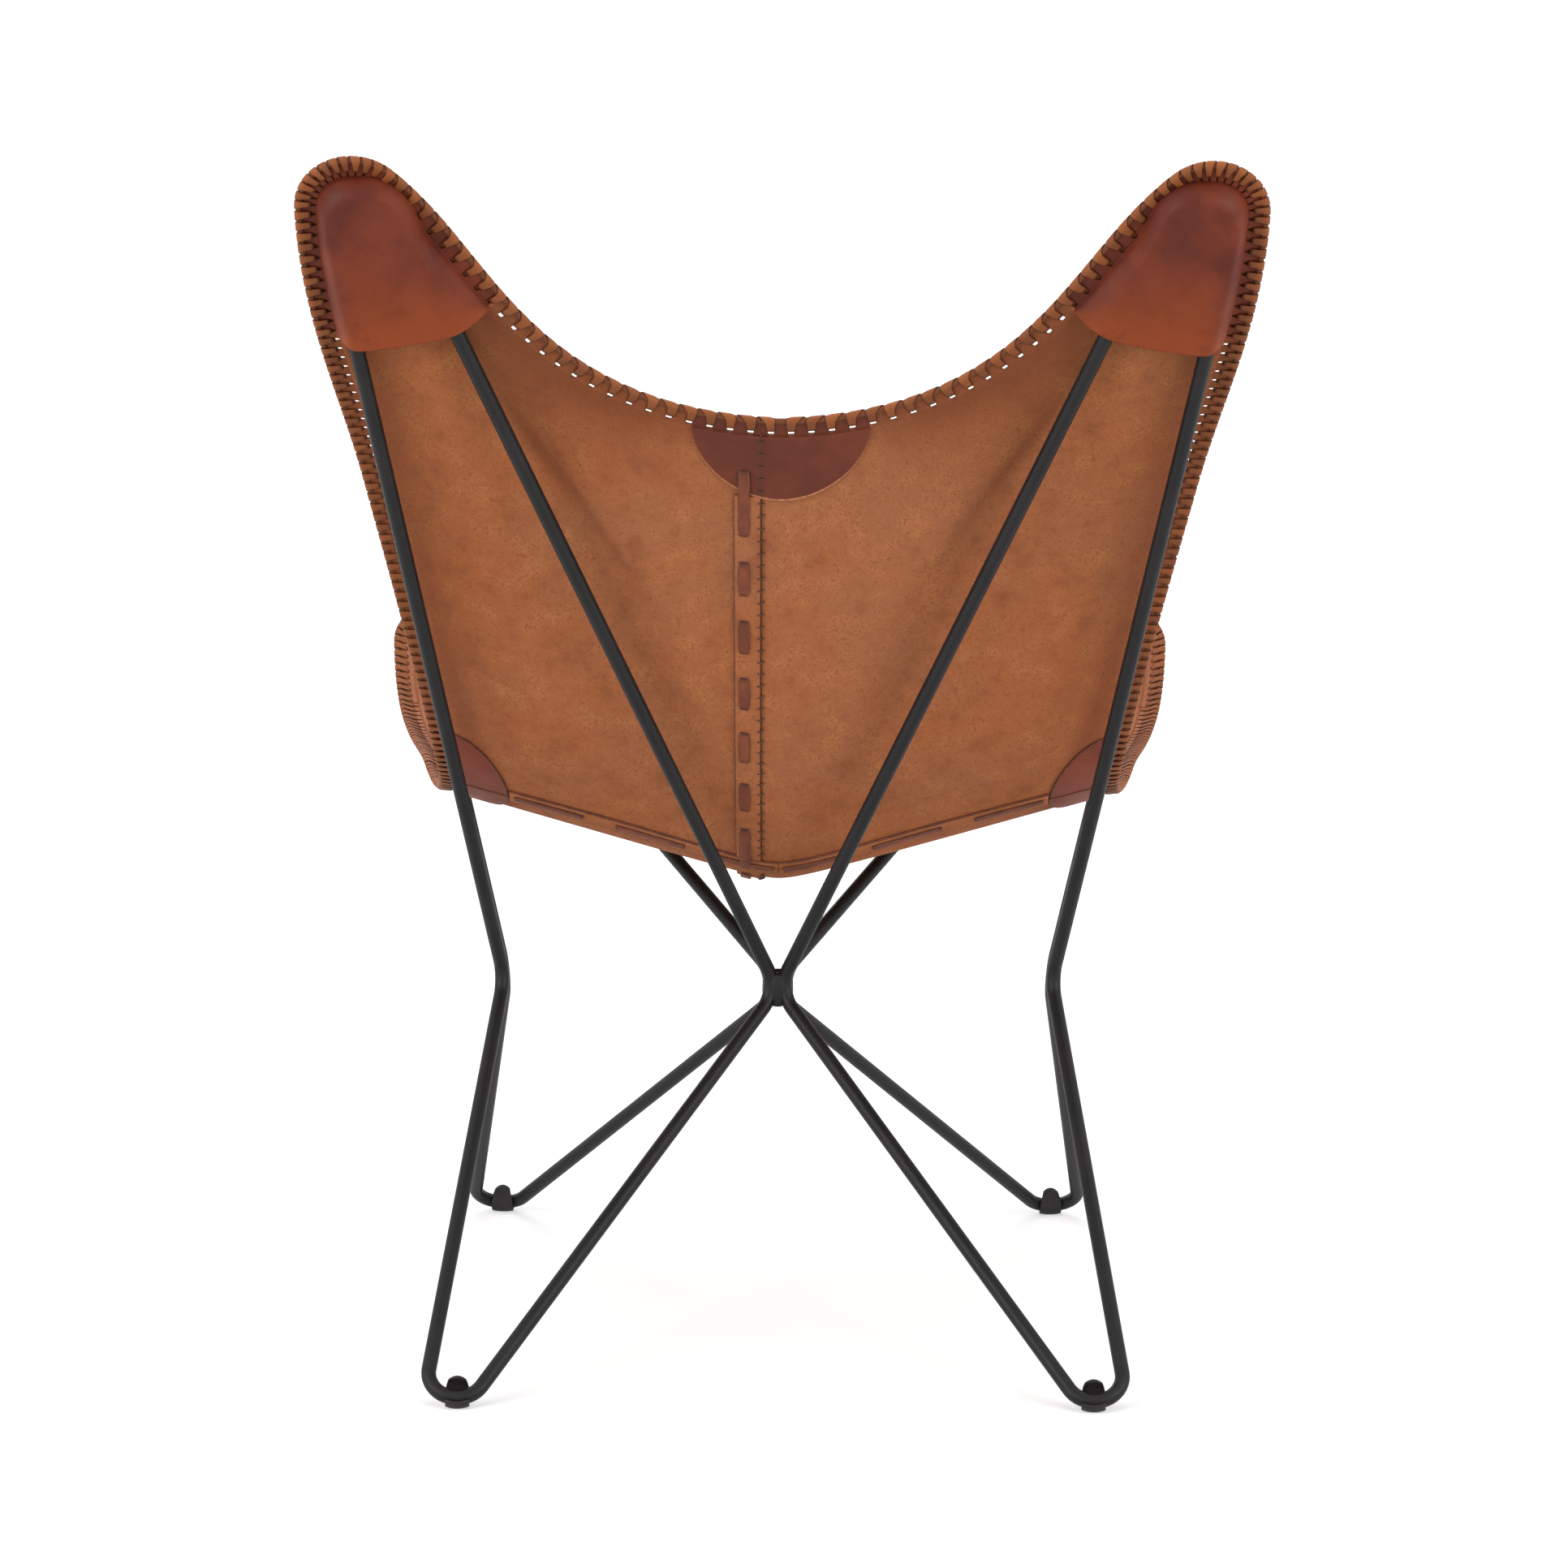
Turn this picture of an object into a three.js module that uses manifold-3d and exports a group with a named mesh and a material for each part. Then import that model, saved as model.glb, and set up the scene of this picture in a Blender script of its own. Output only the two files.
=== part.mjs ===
// Butterfly sling chair: a leather sling hung on a welded frame of four bent rod loops.
// Millimetres, +Z up. The sitter faces -Y, and +X is at the sitter's left.
// The frame and the sling are laid out from the waist, where the loops touch, at y = 0.
// The origin is then moved to the floor below the middle of the chair.

import * as THREE from "three";
import { mergeVertices } from "three/addons/utils/BufferGeometryUtils.js";
import Module from "manifold-3d";

const wasm = await Module();
wasm.setup();

// Frame: four closed loops of round rod. An apex is where the two straight runs of a bend would meet.
const ROD_DIAMETER = 11;
const WAIST_HEIGHT = 261;
const WAIST_HALF_WIDTH = 213;
const HUB_DROP = 8;
const WAIST_BEND_RADIUS = 22;
const REAR_APEX_HALF_WIDTH = 344;
const REAR_APEX_REACH = 427;
const REAR_APEX_HEIGHT = 1053;
const FRONT_APEX_HALF_WIDTH = 321;
const FRONT_APEX_REACH = 434;
const FRONT_APEX_HEIGHT = 548;
const HAIRPIN_RADIUS = 26;
const FOOT_APEX_HALF_WIDTH = 263;
const FOOT_APEX_REACH = 330;
const FOOT_BEND_RADIUS = 21;

// Weld beads in the grooves between neighbouring rods.
const WELD_GAP = 0.6;
const BEAD_WIDTH = 11;
const BEAD_DEPTH = 6.8;
const BEAD_LENGTH = 22;

// Floor glides: plastic clips under the floor bends, with a lip on the inner side.
const GLIDE_SOLE = 2.2;
const GLIDE_WALL = 2.6;
const GLIDE_LENGTH = 19;
const GLIDE_TOP_LENGTH = 12;
const GLIDE_LIP = 6.5;
const GLIDE_OUTER_REACH = 4.5;

// Sling outline on the flat: x across, w up the back from the waist and, below zero, out along the seat.
const SLING_WAIST_HALF_WIDTH = 262;
const CROSS_SEAM = 60;
const TOP_EDGE = 507;
const TOP_DIP_FLAT = 110;
const TOP_SHOULDER_RUN = 170;
const TOP_SHOULDER_ANGLE = 34;
const REAR_SIDE_FLARE = 5;
const REAR_SIDE_RUN = 180;
const REAR_WAIST_RUN = 110;
const REAR_TIP_ALLOWANCE = 10.5;
const FRONT_EDGE = 312;
const FRONT_DIP_FLAT = 115;
const FRONT_SHOULDER_RUN = 110;
const FRONT_SHOULDER_ANGLE = 42;
const FRONT_SIDE_FLARE = 4;
const FRONT_SIDE_RUN = 140;
const FRONT_WAIST_RUN = 90;
const FRONT_TIP_ALLOWANCE = 20;
const TIP_SLACK = 5;
const TIP_SHIFT = 3;

// Sling hang: the fold between back and seat is tighter at the centre than at the sides.
const FOLD_CENTRE = 103;
const FOLD_SIDE = 201;
const FOLD_EASE = 18;
const FRONT_DROOP = 34;
const DROOP_HALF_WIDTH = 200;
const REAR_HOLD = 260;
const FRONT_HOLD = 280;

// Leather goods.
const LEATHER = 3.2;
const PATCH_LEATHER = 2;
const THONG_LEATHER = 1.8;
const RIM_WIDTH = 11;
const RIM_THICKNESS = 9;
const LACE_PITCH = 14;
const LACE_GROOVE = 0.8;
const LACE_SLANT = 2.5;
const POCKET_RUN = 150;
const HEM_SAG = 10;
const END_PATCH = { halfLength: 64, depth: 60 };
const SIDE_PATCH = { halfLength: 105, depth: 46 };
const SEAM_OFFSET = 14;
const LAP_START = 16;
const LAP_WIDTH = 18;
const THONG_WIDTH = 9;
const THONG_PITCH = 54;
const CROSS_STRIP_WIDTH = 24;

// Clearances and facets.
const TOUCH_GAP = 0.4;
const RIM_GAP = 1.5;
const SKIN_GAP = 0.6;
const ROD_CLEARANCE = 3;
const POCKET_CLEARANCE = 0.5;
const POCKET_EASE = 1.5;
const ROD_SIDES = 10;
const BEND_STEPS = 7;
const PANEL_STEPS = 16;
const POCKET_COLUMNS = 15;
const PATCH_COLUMNS = 10;
const STRIP_STEP = 16;
const LACE_SIDES = 5;
const BEAD_SEGMENTS = 9;

const ROD_RADIUS = ROD_DIAMETER / 2;
const HUB_HEIGHT = WAIST_HEIGHT - HUB_DROP;
const ROD_TOUCH = ROD_RADIUS + WELD_GAP / 2;
const REAR_SLOPE = Math.atan2(REAR_APEX_HEIGHT - WAIST_HEIGHT, REAR_APEX_REACH - ROD_TOUCH);
const FRONT_SLOPE = Math.atan2(FRONT_APEX_HEIGHT - WAIST_HEIGHT, FRONT_APEX_REACH - ROD_TOUCH);
const PANEL_LIFT = ROD_RADIUS + ROD_CLEARANCE + LEATHER / 2;
const SKIN_LIFT = PANEL_LIFT - (LEATHER + PATCH_LEATHER) / 2 - SKIN_GAP;
const THONG_LIFT = SKIN_LIFT - (PATCH_LEATHER + THONG_LEATHER) / 2 - TOUCH_GAP;
const EDGE_INSET = RIM_WIDTH + RIM_GAP;

const vec = (x, y, z) => new THREE.Vector3(x, y, z);
const flat = (x, w) => new THREE.Vector2(x, w);
const lerp = THREE.MathUtils.lerp;
const radians = THREE.MathUtils.degToRad;
const range = (n) => Array.from({ length: n }, (_, i) => i);

// Finishes.
const finish = (color, roughness, metalness) => () =>
  new THREE.MeshStandardMaterial({ color, roughness, metalness });
const powderCoat = finish(0x37343a, 0.5, 0.3);
const blackPlastic = finish(0x2b292c, 0.6, 0);
const suede = finish(0xa5694a, 0.85, 0);
const glossyLeather = finish(0x7c3d24, 0.45, 0);
const laceLeather = finish(0x8f4e2a, 0.6, 0);

// A closed body from points and triangles, turned so that its faces point out.
function body(points, triangles) {
  const a = new THREE.Vector3();
  const volume = triangles.reduce((sum, [i, j, k]) => {
    a.crossVectors(points[j], points[k]);
    return sum + points[i].dot(a);
  }, 0);
  const faces = volume < 0 ? triangles.map(([i, j, k]) => [i, k, j]) : triangles;
  const geometry = new THREE.BufferGeometry().setFromPoints(points);
  geometry.setIndex(faces.flat());
  return geometry;
}

// A body skinned over rings of equal length. A closed run joins its last ring to its first.
function skin(rings, closed) {
  const sides = rings[0].length;
  const points = rings.flat();
  const triangles = [];
  const runs = closed ? rings.length : rings.length - 1;
  range(runs).forEach((r) => {
    const here = r * sides;
    const next = ((r + 1) % rings.length) * sides;
    range(sides).forEach((s) => {
      const t = (s + 1) % sides;
      triangles.push([here + s, here + t, next + t], [here + s, next + t, next + s]);
    });
  });
  if (!closed) {
    const last = (rings.length - 1) * sides;
    range(sides - 2).forEach((s) => {
      triangles.push([0, s + 2, s + 1], [last, last + s + 1, last + s + 2]);
    });
  }
  return body(points, triangles);
}

// A sheet of even thickness: place(i, j, side) gives the point of a grid on its upper or lower face.
function sheet(columns, rows, place) {
  const points = [];
  [1, -1].forEach((side) =>
    range(rows + 1).forEach((j) =>
      range(columns + 1).forEach((i) => points.push(place(i / columns, j / rows, side))),
    ),
  );
  const under = (rows + 1) * (columns + 1);
  const at = (i, j) => j * (columns + 1) + i;
  const triangles = [];
  const wall = (p, q) => triangles.push([q, p, p + under], [q, p + under, q + under]);
  range(rows).forEach((j) =>
    range(columns).forEach((i) => {
      const [a, b, c, d] = [at(i, j), at(i + 1, j), at(i + 1, j + 1), at(i, j + 1)];
      triangles.push([a, b, c], [a, c, d]);
      triangles.push([a + under, c + under, b + under], [a + under, d + under, c + under]);
    }),
  );
  range(columns).forEach((i) => {
    wall(at(i, 0), at(i + 1, 0));
    wall(at(i + 1, rows), at(i, rows));
  });
  range(rows).forEach((j) => {
    wall(at(columns, j), at(columns, j + 1));
    wall(at(0, j + 1), at(0, j));
  });
  return body(points, triangles);
}

// Solids for cutting, and their way back to a geometry.
function solid(geometry) {
  const bare = geometry.clone();
  bare.deleteAttribute("normal");
  bare.deleteAttribute("uv");
  const merged = mergeVertices(bare, 1e-4);
  const vertProperties = merged.attributes.position.array;
  const triVerts = new Uint32Array(merged.index.array);
  return new wasm.Manifold(new wasm.Mesh({ numProp: 3, vertProperties, triVerts }));
}

function geometryOf(cut) {
  const { vertProperties, triVerts } = cut.getMesh();
  const geometry = new THREE.BufferGeometry();
  geometry.setAttribute("position", new THREE.BufferAttribute(vertProperties, 3));
  geometry.setIndex(new THREE.BufferAttribute(triVerts, 1));
  return geometry;
}

// The arc that rounds a corner, as points from the run before it to the run after it.
function roundedCorner(before, corner, after, radius, steps) {
  const back = before.clone().sub(corner).normalize();
  const ahead = after.clone().sub(corner).normalize();
  const half = back.angleTo(ahead) / 2;
  const bisector = back.clone().add(ahead).normalize();
  const centre = corner.clone().addScaledVector(bisector, radius / Math.sin(half));
  const across = ahead.clone().sub(back).normalize();
  const sweep = Math.PI / 2 - half;
  const points = range(steps + 1).map((i) => {
    const angle = lerp(-sweep, sweep, i / steps);
    return centre
      .clone()
      .addScaledVector(bisector, -radius * Math.cos(angle))
      .addScaledVector(across, radius * Math.sin(angle));
  });
  const middle = centre.clone().addScaledVector(bisector, -radius);
  return { points, middle, centre, bisector };
}

// One rod loop: hairpin, waist bend, floor bend and hub bend, for one side (+1 or -1) and end (+1 rear).
function loopBends(side, end) {
  const rear = end > 0;
  const hairpin = rear
    ? vec(side * REAR_APEX_HALF_WIDTH, REAR_APEX_REACH, REAR_APEX_HEIGHT)
    : vec(side * FRONT_APEX_HALF_WIDTH, -FRONT_APEX_REACH, FRONT_APEX_HEIGHT);
  const waistTouch = vec(side * WAIST_HALF_WIDTH, end * ROD_TOUCH, WAIST_HEIGHT);
  const hubTouch = vec(side * ROD_TOUCH, end * ROD_TOUCH, HUB_HEIGHT);
  const foot = vec(side * FOOT_APEX_HALF_WIDTH, end * FOOT_APEX_REACH, 0);
  const waist = waistTouch.clone();
  const hub = hubTouch.clone();
  // The waist and hub bends are set to touch their neighbours, and the floor bend to stand on its glide.
  const settling = 24;
  const round = (before, corner, after, radius) =>
    roundedCorner(before, corner, after, radius, BEND_STEPS);
  range(settling).forEach(() => {
    waist.add(waistTouch.clone().sub(round(hairpin, waist, foot, WAIST_BEND_RADIUS).middle));
    hub.add(hubTouch.clone().sub(round(foot, hub, hairpin, WAIST_BEND_RADIUS).middle));
    const floorBend = roundedCorner(waist, foot, hub, FOOT_BEND_RADIUS, 8 * BEND_STEPS);
    const lowest = Math.min(...floorBend.points.map((p) => p.z));
    foot.z += ROD_RADIUS + GLIDE_SOLE - lowest;
  });
  return {
    hairpin: round(hub, hairpin, waist, HAIRPIN_RADIUS),
    waist: round(hairpin, waist, foot, WAIST_BEND_RADIUS),
    foot: round(waist, foot, hub, FOOT_BEND_RADIUS),
    hub: round(foot, hub, hairpin, WAIST_BEND_RADIUS),
  };
}

// A round rod along the bends of a loop, with rings only at the bends.
function rodLoop(bends, radius) {
  const path = [bends.hairpin, bends.waist, bends.foot, bends.hub].flatMap((bend) => bend.points);
  const count = path.length;
  const step = (i) => path[(i + 1) % count].clone().sub(path[i % count]).normalize();
  const tangents = path.map((_, i) => step(i + count - 1).add(step(i)).normalize());
  const turn = (from, to, v) =>
    v.clone().applyQuaternion(new THREE.Quaternion().setFromUnitVectors(from, to));
  const firstNormal = vec(0, 0, 1).cross(tangents[0]).normalize();
  const normals = [firstNormal];
  range(count - 1).forEach((i) => normals.push(turn(tangents[i], tangents[i + 1], normals[i])));
  const closing = turn(tangents[count - 1], tangents[0], normals[count - 1]);
  const twistSign = Math.sign(closing.clone().cross(firstNormal).dot(tangents[0]));
  const twist = twistSign * closing.angleTo(firstNormal);
  const rings = path.map((p, i) => {
    const u = normals[i].clone().applyAxisAngle(tangents[i], (twist * i) / count);
    const v = tangents[i].clone().cross(u);
    return range(ROD_SIDES).map((s) => {
      const angle = (2 * Math.PI * s) / ROD_SIDES;
      return p
        .clone()
        .addScaledVector(u, radius * Math.cos(angle))
        .addScaledVector(v, radius * Math.sin(angle));
    });
  });
  return skin(rings, true);
}

// A weld bead: an egg laid in the groove between two rods and cut by them.
function weldBead(centre, size, bendsBeside) {
  const egg = new THREE.SphereGeometry(0.5, BEAD_SEGMENTS, BEAD_SEGMENTS);
  egg.scale(size.x, size.y, size.z);
  egg.translate(centre.x, centre.y, centre.z);
  const rods = bendsBeside.map((bends) => solid(rodLoop(bends, ROD_RADIUS + TOUCH_GAP)));
  const cut = rods.reduce((rest, rod) => rest.subtract(rod), solid(egg));
  // Only the part in its own groove is kept.
  const parts = cut.decompose().sort((p, q) => q.volume() - p.volume());
  return geometryOf(parts[0]);
}

// A floor glide: a clip with a flat sole, cut by the rod, whose inner wall rises past the rod as a lip.
function floorGlide(bends) {
  const arc = bends.foot.points;
  const low = arc.reduce((best, p) => (p.z < best.z ? p : best));
  const along = arc[arc.length - 1].clone().sub(arc[0]).setZ(0).normalize();
  const inward = vec(-along.y, along.x, 0);
  inward.multiplyScalar(Math.sign(inward.dot(bends.foot.bisector)));
  const innerFace = ROD_RADIUS + GLIDE_WALL;
  const lipTop = GLIDE_SOLE + ROD_DIAMETER + GLIDE_LIP;
  const lipBack = innerFace - GLIDE_WALL + TOUCH_GAP;
  const section = new THREE.Shape([
    flat(-GLIDE_OUTER_REACH, 0),
    flat(innerFace, 0),
    flat(innerFace + GLIDE_LIP / 2, lipTop),
    flat(lipBack + GLIDE_LIP / 2, lipTop),
    flat(0, GLIDE_SOLE + ROD_RADIUS),
    flat(-GLIDE_OUTER_REACH, GLIDE_SOLE + ROD_RADIUS / 2),
  ]);
  const clip = new THREE.ExtrudeGeometry(section, { depth: GLIDE_LENGTH, bevelEnabled: false, steps: 1 });
  clip.translate(0, 0, -GLIDE_LENGTH / 2);
  // The clip's ends lean in towards the top of the lip.
  const places = clip.getAttribute("position");
  range(places.count).forEach((i) => {
    const rise = Math.max(0, places.getY(i) - GLIDE_SOLE - ROD_RADIUS) / (lipTop - GLIDE_SOLE - ROD_RADIUS);
    places.setZ(i, places.getZ(i) * lerp(1, GLIDE_TOP_LENGTH / GLIDE_LENGTH, rise));
  });
  const up = vec(0, 0, 1);
  const turned = new THREE.Matrix4().makeBasis(inward, up, inward.clone().cross(up));
  turned.setPosition(low.x, low.y, 0);
  clip.applyMatrix4(turned);
  const rod = solid(rodLoop(bends, ROD_RADIUS + TOUCH_GAP));
  return geometryOf(solid(clip).subtract(rod));
}

// The plane of an end's rods, as a point of the flat pattern lifted square to it.
function onRods(place, lift, end) {
  const slope = end > 0 ? REAR_SLOPE : FRONT_SLOPE;
  const run = end * place.y;
  return vec(
    place.x,
    end * (ROD_TOUCH + run * Math.cos(slope) - lift * Math.sin(slope)),
    WAIST_HEIGHT + run * Math.sin(slope) + lift * Math.cos(slope),
  );
}

// The middle of a hairpin on the flat, and the way to its apex.
function hairpinOnFlat(end) {
  const rear = end > 0;
  const apexX = rear ? REAR_APEX_HALF_WIDTH : FRONT_APEX_HALF_WIDTH;
  const reach = (rear ? REAR_APEX_REACH : FRONT_APEX_REACH) - ROD_TOUCH;
  const rise = (rear ? REAR_APEX_HEIGHT : FRONT_APEX_HEIGHT) - WAIST_HEIGHT;
  const apex = vec(apexX, end * Math.hypot(reach, rise), 0);
  const bend = roundedCorner(vec(0, 0, 0), apex, vec(WAIST_HALF_WIDTH, 0, 0), HAIRPIN_RADIUS, BEND_STEPS);
  return { centre: bend.centre, outward: bend.bisector.clone().negate() };
}

// The hung sling: flat pattern (x, w) to a point, lifted along the leather's normal towards the sitter.
// Near the hairpins the pockets hold the leather down on the rods.
const rearPin = hairpinOnFlat(1).centre;
const frontPin = hairpinOnFlat(-1).centre;

function fold(x, w) {
  const spread = (Math.hypot(x, FOLD_EASE) - FOLD_EASE) / SLING_WAIST_HALF_WIDTH;
  const soft = lerp(FOLD_CENTRE, FOLD_SIDE, spread);
  const [pin, hold] = w > 0 ? [rearPin, REAR_HOLD] : [frontPin, FRONT_HOLD];
  const reach = Math.abs(pin.y);
  const { smoothstep } = THREE.MathUtils;
  const near = smoothstep(Math.abs(w), reach - hold, reach - HAIRPIN_RADIUS);
  const beside = w > 0 ? 1 : smoothstep(Math.abs(x), 0, pin.x - HAIRPIN_RADIUS);
  const free = 1 - near * beside;
  const slack = (free * (Math.hypot(w, soft) - Math.abs(w))) / 2;
  const up = Math.max(w, 0) + slack;
  const out = Math.max(-w, 0) + slack;
  const middle = Math.max(0, 1 - (x / DROOP_HALF_WIDTH) ** 2);
  const droop = FRONT_DROOP * middle ** 2 * Math.max(0, -w / FRONT_EDGE) ** 2;
  return vec(
    x,
    up * Math.cos(REAR_SLOPE) - out * Math.cos(FRONT_SLOPE) + (ROD_TOUCH * w) / (up + out),
    WAIST_HEIGHT + up * Math.sin(REAR_SLOPE) + out * Math.sin(FRONT_SLOPE) - droop,
  );
}

function hang(place, lift) {
  const probe = 0.5;
  const across = fold(place.x + probe, place.y).sub(fold(place.x - probe, place.y));
  const along = fold(place.x, place.y + probe).sub(fold(place.x, place.y - probe));
  const normal = across.cross(along).normalize();
  return fold(place.x, place.y).addScaledVector(normal, lift);
}

const mirrored = (place, side) => flat(side * place.x, place.y);

// The sling's edge on the flat for one end: dip at the centre, straight shoulder, round tip, side.
function slingEdge(end) {
  const rear = end > 0;
  const allowance = rear ? REAR_TIP_ALLOWANCE : FRONT_TIP_ALLOWANCE;
  const radius = HAIRPIN_RADIUS + ROD_RADIUS + allowance;
  const shoulder = radians(rear ? TOP_SHOULDER_ANGLE : FRONT_SHOULDER_ANGLE);
  const flare = radians(rear ? REAR_SIDE_FLARE : FRONT_SIDE_FLARE);
  const middle = rear ? TOP_EDGE : -FRONT_EDGE;
  const dipFlat = rear ? TOP_DIP_FLAT : FRONT_DIP_FLAT;
  const shoulderRun = rear ? TOP_SHOULDER_RUN : FRONT_SHOULDER_RUN;
  const sideRun = rear ? REAR_SIDE_RUN : FRONT_SIDE_RUN;
  const waistRun = rear ? REAR_WAIST_RUN : FRONT_WAIST_RUN;
  const pin = hairpinOnFlat(end);
  const tip = pin.centre.clone().addScaledVector(pin.outward, TIP_SLACK);
  tip.x += TIP_SHIFT;
  const inner = flat(tip.x - radius * Math.cos(shoulder), tip.y + end * radius * Math.sin(shoulder));
  const outer = flat(tip.x + radius * Math.cos(flare), tip.y - end * radius * Math.sin(flare));
  const dip = new THREE.CubicBezierCurve(
    flat(0, middle),
    flat(dipFlat, middle),
    flat(inner.x - shoulderRun * Math.sin(shoulder), inner.y - end * shoulderRun * Math.cos(shoulder)),
    inner,
  );
  const fromAngle = rear ? Math.PI - shoulder : Math.PI + shoulder;
  const toAngle = rear ? -flare : 2 * Math.PI + flare;
  const round = new THREE.EllipseCurve(tip.x, tip.y, radius, radius, fromAngle, toAngle, rear, 0);
  const side = new THREE.CubicBezierCurve(
    outer,
    flat(outer.x - sideRun * Math.sin(flare), outer.y - end * sideRun * Math.cos(flare)),
    flat(SLING_WAIST_HALF_WIDTH, CROSS_SEAM + end * waistRun),
    flat(SLING_WAIST_HALF_WIDTH, CROSS_SEAM),
  );
  const path = new THREE.CurvePath();
  [dip, round, side].forEach((curve) => path.add(curve));
  const length = path.getLength();
  const tipLength = dip.getLength() + round.getLength() / 2;
  // A point of the edge at a distance from the centre, moved in from the edge, and mirrored below zero.
  const at = (distance, inset) => {
    const t = THREE.MathUtils.clamp(Math.abs(distance) / length, 0, 1);
    const tangent = path.getTangentAt(t);
    const inward = flat(end * tangent.y, -end * tangent.x);
    const point = path.getPointAt(t).addScaledVector(inward, inset);
    return distance < 0 ? mirrored(point, -1) : point;
  };
  return { at, length, tipLength, end, rodInset: ROD_RADIUS + allowance - TIP_SHIFT };
}

const layers = (lift, thickness) => (face) => lift + (face * thickness) / 2;

// A sling panel: the part between the centre seam, which lies to one side, the cross seam and the edge.
function panel(edge, side) {
  const level = layers(PANEL_LIFT, LEATHER);
  const half = TOUCH_GAP / 2;
  const seam = CROSS_SEAM + edge.end * half;
  const start = side * SEAM_OFFSET + half;
  const top = (u) => edge.at(lerp(start, edge.tipLength, u), EDGE_INSET);
  const outer = (v) => edge.at(lerp(edge.length, edge.tipLength, v), EDGE_INSET);
  const middle = (v) => flat(start, lerp(seam, top(0).y, v));
  const bottom = (u) => flat(lerp(start, outer(0).x, u), seam);
  // The four edges are blended, and the corners taken off once.
  const place = (u, v) => {
    const blend = (name) => {
      const rows = lerp(bottom(u)[name], top(u)[name], v);
      const columns = lerp(middle(v)[name], outer(v)[name], u);
      const low = lerp(bottom(0)[name], bottom(1)[name], u);
      const high = lerp(middle(1)[name], outer(1)[name], u);
      return rows + columns - lerp(low, high, v);
    };
    const x = Math.max(start, blend("x"));
    return flat(side * x, u === 0 ? middle(v).y : blend("y"));
  };
  return sheet(PANEL_STEPS, PANEL_STEPS, (u, v, face) => hang(place(u, v), level(face)));
}

// A corner pocket: leather that goes from under the rim round the hairpin and ends in a straight hem.
function pocket(edge, side) {
  const inner = ROD_RADIUS + POCKET_CLEARANCE;
  const outer = inner + LEATHER;
  const underRim = PANEL_LIFT - RIM_THICKNESS / 2 - SKIN_GAP;
  const wrapTop = -Math.asin(Math.min(underRim / outer, 1));
  const middle = Math.min(edge.rodInset - POCKET_EASE, RIM_WIDTH / 2 + outer * Math.cos(wrapTop));
  const wrapRows = 4;
  const hemRows = 4;
  const rowCount = wrapRows + hemRows;
  const from = edge.at(edge.tipLength - POCKET_RUN, middle);
  const to = edge.at(edge.tipLength + POCKET_RUN, middle);
  const trim = 0.035;
  return sheet(POCKET_COLUMNS, rowCount, (u, v, face) => {
    const p = lerp(trim, 1 - trim, u);
    const row = Math.round(v * rowCount);
    const reach = face > 0 ? inner : outer;
    const angle = lerp(wrapTop, Math.PI / 2, Math.min(1, row / wrapRows));
    const inset = middle - reach * Math.cos(angle);
    const spot = edge.at(edge.tipLength + lerp(-POCKET_RUN, POCKET_RUN, p), inset);
    const hem = from.clone().lerp(to, p);
    hem.y -= edge.end * HEM_SAG * 4 * p * (1 - p);
    spot.lerp(hem, Math.max(0, row - wrapRows) / hemRows);
    // The top of the wrap follows the rim, and the rest of the pocket lies along the rods.
    const lift = row === 0 ? underRim : -reach * Math.sin(angle);
    const there = mirrored(spot, side);
    const round = (angle - wrapTop) / (Math.PI / 2 - wrapTop);
    return hang(there, lift).lerp(onRods(there, lift, edge.end), round);
  });
}

// A half-moon patch under the rim: rimPoint(s) is the rim at a signed distance from the patch's middle.
function halfMoon(rimPoint, inward, size) {
  const level = layers(SKIN_LIFT, PATCH_LEATHER);
  const widest = radians(86);
  const rows = 4;
  return sheet(PATCH_COLUMNS, rows, (u, v, face) => {
    const angle = lerp(-widest, widest, u);
    const rim = rimPoint(size.halfLength * Math.sin(angle));
    const spot = rim.addScaledVector(inward, v * size.depth * Math.cos(angle));
    return hang(spot, level(face));
  });
}

// The laced rim of a panel: a flat lace wound over the edge, one ridge to a stitch.
function lacedRim(edge, side) {
  const start = TOUCH_GAP / 2;
  const run = edge.length - TOUCH_GAP;
  const stitches = Math.round(run / LACE_PITCH);
  const rings = range(2 * stitches + 1).map((i) => {
    const distance = start + (run * i) / (2 * stitches);
    const spot = (inset) => mirrored(edge.at(distance, inset), side);
    const centre = hang(spot(RIM_WIDTH / 2), PANEL_LIFT);
    const outward = hang(spot(0), PANEL_LIFT).sub(hang(spot(RIM_WIDTH), PANEL_LIFT)).normalize();
    const normal = hang(spot(RIM_WIDTH / 2), PANEL_LIFT + RIM_THICKNESS).sub(centre).normalize();
    const along = outward.clone().cross(normal);
    const groove = i % 2 ? 0 : LACE_GROOVE;
    const inRun = i > 0 && i < 2 * stitches;
    return range(LACE_SIDES).map((s) => {
      const angle = (2 * Math.PI * s) / LACE_SIDES - Math.PI / 2;
      const wide = RIM_WIDTH / 2 - groove;
      const thick = RIM_THICKNESS / 2 - groove;
      return centre
        .clone()
        .addScaledVector(outward, wide * Math.cos(angle))
        .addScaledVector(normal, thick * Math.sin(angle))
        .addScaledVector(along, inRun ? LACE_SLANT * Math.sin(angle) : 0);
    });
  });
  return skin(rings, false);
}

// A narrow strip along the flat pattern, from one place to another, with a wave in its lift.
function strip(from, to, width, lift, thickness, wave) {
  const run = to.clone().sub(from);
  const across = flat(-run.y, run.x).normalize();
  const steps = Math.max(2, Math.round(run.length() / STRIP_STEP));
  return sheet(1, steps, (u, v, face) => {
    const spot = from.clone().addScaledVector(run, v).addScaledVector(across, (u - 0.5) * width);
    const raised = face < 0 ? wave * (1 - Math.cos((2 * Math.PI * v * run.length()) / THONG_PITCH)) : 0;
    return hang(spot, lift + (face * thickness) / 2 - raised / 2);
  });
}

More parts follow.
